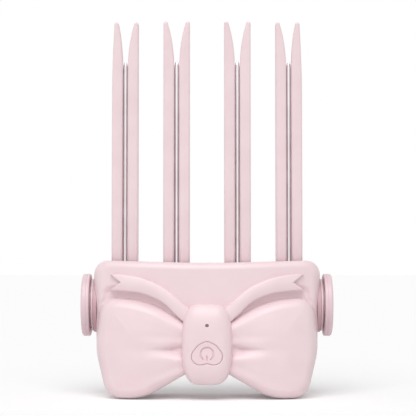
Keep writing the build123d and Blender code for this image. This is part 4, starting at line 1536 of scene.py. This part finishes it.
@dataclass
class SideButton:
    """One of the two round discs that are squeezed, with the boss it slides in."""

    name: str
    side: int
    height: float = 32.0
    depth: float = 6.15
    radius: float = 11.0
    outer: float = 44.0
    thickness: float = 2.8
    socket_depth: float = 1.6
    back_round: float = 0.45
    face_round: float = 0.8
    rim_line: float = 0.1
    boss_radius: float = 9.65
    boss_outer: float = 40.0
    boss_inner: float = 36.6
    boss_round: float = 0.4
    barrel_bore: float = 3.3
    barrel_radius: float = 7.0
    barrel_end: float = 38.6
    lip_radius: float = 9.2
    lip_end: float = 39.85
    lip_play: float = 0.12
    groove_width: float = 0.65
    groove_depth: float = 1.6

    def axis(self) -> Vector:
        """Direction from the middle of the clip to this side."""
        return Vector((float(self.side), 0.0, 0.0))

    def middle(self) -> Vector:
        """Point of the button's axis in the middle of the clip."""
        return Vector((0.0, self.depth, self.height))

    def build_disc(self) -> Object:
        """The disc, with a rounded rim, a fine rim line and a shallow dish.

        Returns:
            The disc.
        """
        inner, face = self.outer - self.thickness, self.outer
        lip, radius, line = self.lip_radius, self.radius, self.radius - self.rim_line
        groove, groove_bottom = inner - self.groove_width, lip - self.groove_depth
        back, front = self.back_round, self.face_round
        profile = [(inner + self.socket_depth, 0.0), (inner + self.socket_depth, 1.55),
                   (inner, 1.65), (inner, lip - 2.1), (self.lip_end, lip - 2.0),
                   (self.lip_end, lip - 0.1), (self.lip_end + 0.1, lip), (groove, lip),
                   (groove, groove_bottom), (inner, groove_bottom), (inner, radius - back)]
        profile += arc((inner + back, radius - back), back, 180.0, 90.0)
        profile += [(inner + 0.95, radius), (inner + 1.02, line), (inner + 1.1, line),
                    (inner + 1.18, radius)]
        profile += arc((face - front, radius - front), front, 90.0, 0.0, 8)
        profile += [(face, radius - 1.6), (face - 0.12, radius - 1.9), (face - 0.14, 6.0),
                    (face - 0.2, 0.0)]
        mesh = lathe(profile, self.axis(), self.middle())
        # Painted shade: the disc, lip included, takes a darker pink for the shade on its
        # sideways-facing rim.
        disc = to_object(f"{self.name}_disc", mesh, SHADED_PINK_DISC, 40.0)
        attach(disc, f"{self.name}_button")
        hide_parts(f"{self.name}_button_cap")
        return disc

    def build_boss(self) -> Object:
        """The boss in the housing's end, with its guide barrel and its spring pocket.

        Returns:
            The boss.
        """
        start, outer, corner = self.boss_inner, self.boss_outer, self.boss_round
        bore, barrel = self.barrel_bore, self.barrel_radius
        pocket = self.lip_radius + self.lip_play
        profile = [(start, bore), (start, barrel - 0.3), (36.9, barrel),
                   (self.barrel_end, barrel), (self.barrel_end, self.boss_radius)]
        profile += arc((outer - corner, self.boss_radius - corner), corner, 90.0, 0.0)
        profile += [(outer, pocket + 0.1), (outer - 0.1, pocket), (38.75, pocket), (38.75, 6.3),
                    (37.7, 5.6), (37.7, bore), (start, bore)]
        mesh = lathe(profile, self.axis(), self.middle())
        # Painted shade: the boss takes the darker rose that stands in for the shadow in the gap
        # beside the disc.
        boss = to_object(f"{self.name}_boss", mesh, SHADED_ROSE_COLLAR, 40.0)
        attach(boss, "root")
        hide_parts(f"{self.name}_guide_collar")
        return boss


# Springy pieces behind the buttons


@dataclass(frozen=True)
class Springy:
    """A springy piece behind a button, remade from the merged skin of its CAD node."""

    name: str
    node: str
    slot: str
    finish: Finish
    joint: str
    axis: tuple[float, float, float]
    anchor: tuple[float, float, float]
    keep: float

    def build(self) -> Object:
        """Makes the piece from the merged skin of its node.

        Returns:
            The piece.
        """
        skin = from_data(bpy.data.objects[self.node].data)
        bmesh.ops.remove_doubles(skin, verts=skin.verts[:], dist=ROUND_MERGE)
        face_outwards(skin)
        made = to_object(self.name, skin, self.finish)
        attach(made, "root")
        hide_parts(self.node)
        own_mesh(made)
        return made


SPRINGY_PIECES = (
    Springy("left_coil", "left_return_spring", "spring_steel", SPRING_STEEL, "left_press",
            (1.0, 0.0, 0.0), (-37.75, 6.15, 32.0), 0.69),
    Springy("right_coil", "right_return_spring", "spring_steel", SPRING_STEEL, "right_press",
            (1.0, 0.0, 0.0), (37.75, 6.15, 32.0), 0.69),
    Springy("silicone_ring", "button_pad", "silicone", SILICONE, "power_press",
            (0.0, 1.0, 0.0), (0.0, -11.0, 15.75), 0.88),
)

# Pieces that keep their CAD shape


def dress_inside() -> None:
    """Gives every CAD node that stays its finish."""
    for finish, names in FINISHED_NODES:
        for name in names:
            materials = bpy.data.objects[name].data.materials
            materials.clear()
            materials.append(finish.material())
            LOG.info("dressed %s in %s", name, finish.name)


# Studio


@dataclass
class Studio:
    """White floor and backdrop, soft lamps and the camera."""

    distance: float = 0.484
    eye_height: float = 0.045
    eye_side: float = 0.00035
    tilt: float = 2.5
    focal_pixels: float = 1377.0
    frame_pixels: float = 416.0
    ambient: float = 0.42
    gloss_light: float = 1.0
    paper_grey: float = 0.93
    paper_glow: float = 0.12
    floor_half_width: float = 8000.0

    def build(self) -> None:
        """Sets up the whole studio."""
        self._camera()
        self._floor()
        self._world()
        self._sun("key_light", (-0.05, -0.60, 0.79), 1.81, 50.0)
        self._sun("fill_light", (-0.74, -0.50, 0.45), 0.24, 100.0)
        scene = bpy.context.scene
        scene.view_settings.view_transform = "Standard"

    def _camera(self) -> None:
        """Camera straight in front, tilted a little upwards."""
        data = bpy.data.cameras.new("camera")
        data.sensor_width = 36.0
        data.lens = data.sensor_width * self.focal_pixels / self.frame_pixels
        camera = bpy.data.objects.new("camera", data)
        camera.location = (self.eye_side, -self.distance, self.eye_height)
        camera.rotation_euler = (math.radians(90.0 + self.tilt), 0.0, 0.0)
        bpy.context.scene.collection.objects.link(camera)
        bpy.context.scene.camera = camera

    def _floor(self) -> None:
        """Wide pale floor, which looks a little lighter to the camera."""
        sheet = bmesh.new()
        bmesh.ops.create_grid(sheet, x_segments=1, y_segments=1, size=self.floor_half_width)
        floor = to_object("floor", sheet, None)
        paper = bpy.data.materials.new("studio_paper")
        paper.use_nodes = True
        tree = paper.node_tree
        shader = tree.nodes["Principled BSDF"]
        shader.inputs["Roughness"].default_value = 0.9
        shader.inputs["Specular IOR Level"].default_value = 0.0
        shader.inputs["Base Color"].default_value = (self.paper_grey,) * 3 + (1.0,)
        shader.inputs["Emission Color"].default_value = WHITE
        path = add_node(tree, "LightPath", {}, {})
        seen = add_node(tree, "Math", {1: self.paper_glow}, {0: path.outputs["Is Camera Ray"]})
        seen.operation = "MULTIPLY"
        tree.links.new(seen.outputs["Value"], shader.inputs["Emission Strength"])
        floor.data.materials.append(paper)

    def _world(self) -> None:
        """Even light all round, which looks white to the camera and in reflections."""
        world = bpy.data.worlds.new("studio_light")
        bpy.context.scene.world = world
        world.use_nodes = True
        tree = world.node_tree
        background = tree.nodes["Background"]
        background.inputs["Color"].default_value = WHITE
        path = add_node(tree, "LightPath", {}, {})
        looks = {0: path.outputs["Is Camera Ray"], 1: path.outputs["Is Transmission Ray"]}
        seen = add_node(tree, "Math", {}, looks)
        seen.operation = "MAXIMUM"
        mirrored = add_node(tree, "MapRange", {"To Min": self.ambient, "To Max": self.gloss_light},
                            {"Value": path.outputs["Is Glossy Ray"]})
        strength = add_node(tree, "MapRange", {"To Max": 1.0},
                            {"Value": seen.outputs["Value"], "To Min": mirrored.outputs["Result"]})
        tree.links.new(strength.outputs["Result"], background.inputs["Strength"])

    def _sun(
        self, name: str, place: tuple[float, float, float], strength: float, angle: float
    ) -> None:
        """Adds a wide soft light that comes from one direction.

        Args:
            name: the light's name.
            place: direction that the light comes from.
            strength: its irradiance.
            angle: its width in degrees.
        """
        data = bpy.data.lights.new(name, "SUN")
        data.energy = strength
        data.angle = math.radians(angle)
        sun = bpy.data.objects.new(name, data)
        sun.rotation_euler = (-Vector(place)).to_track_quat("-Z", "Y").to_euler()
        bpy.context.scene.collection.objects.link(sun)


def main() -> None:
    """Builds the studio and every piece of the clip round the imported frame."""
    logging.basicConfig(level=logging.INFO, format="%(name)s: %(message)s")
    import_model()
    Studio().build()
    housing = Housing()
    knot = Knot()
    comb = Comb()
    made = [housing.build_front(), housing.build_rear(), knot.build(), knot.build_button(),
            knot.build_lamp(), comb.build()]
    made += [comb.build_rod(number, x) for number, x in enumerate(comb.pair_places, start=1)]
    for name, side in (("left", -1), ("right", 1)):
        button = SideButton(name, side)
        made += [button.build_disc(), button.build_boss()]
    made += [piece.build() for piece in SPRINGY_PIECES]
    for piece in made:
        LOG.info("built %s with %d faces", piece.name, len(piece.data.polygons))
    dress_inside()


if __name__ == "__main__":
    main()
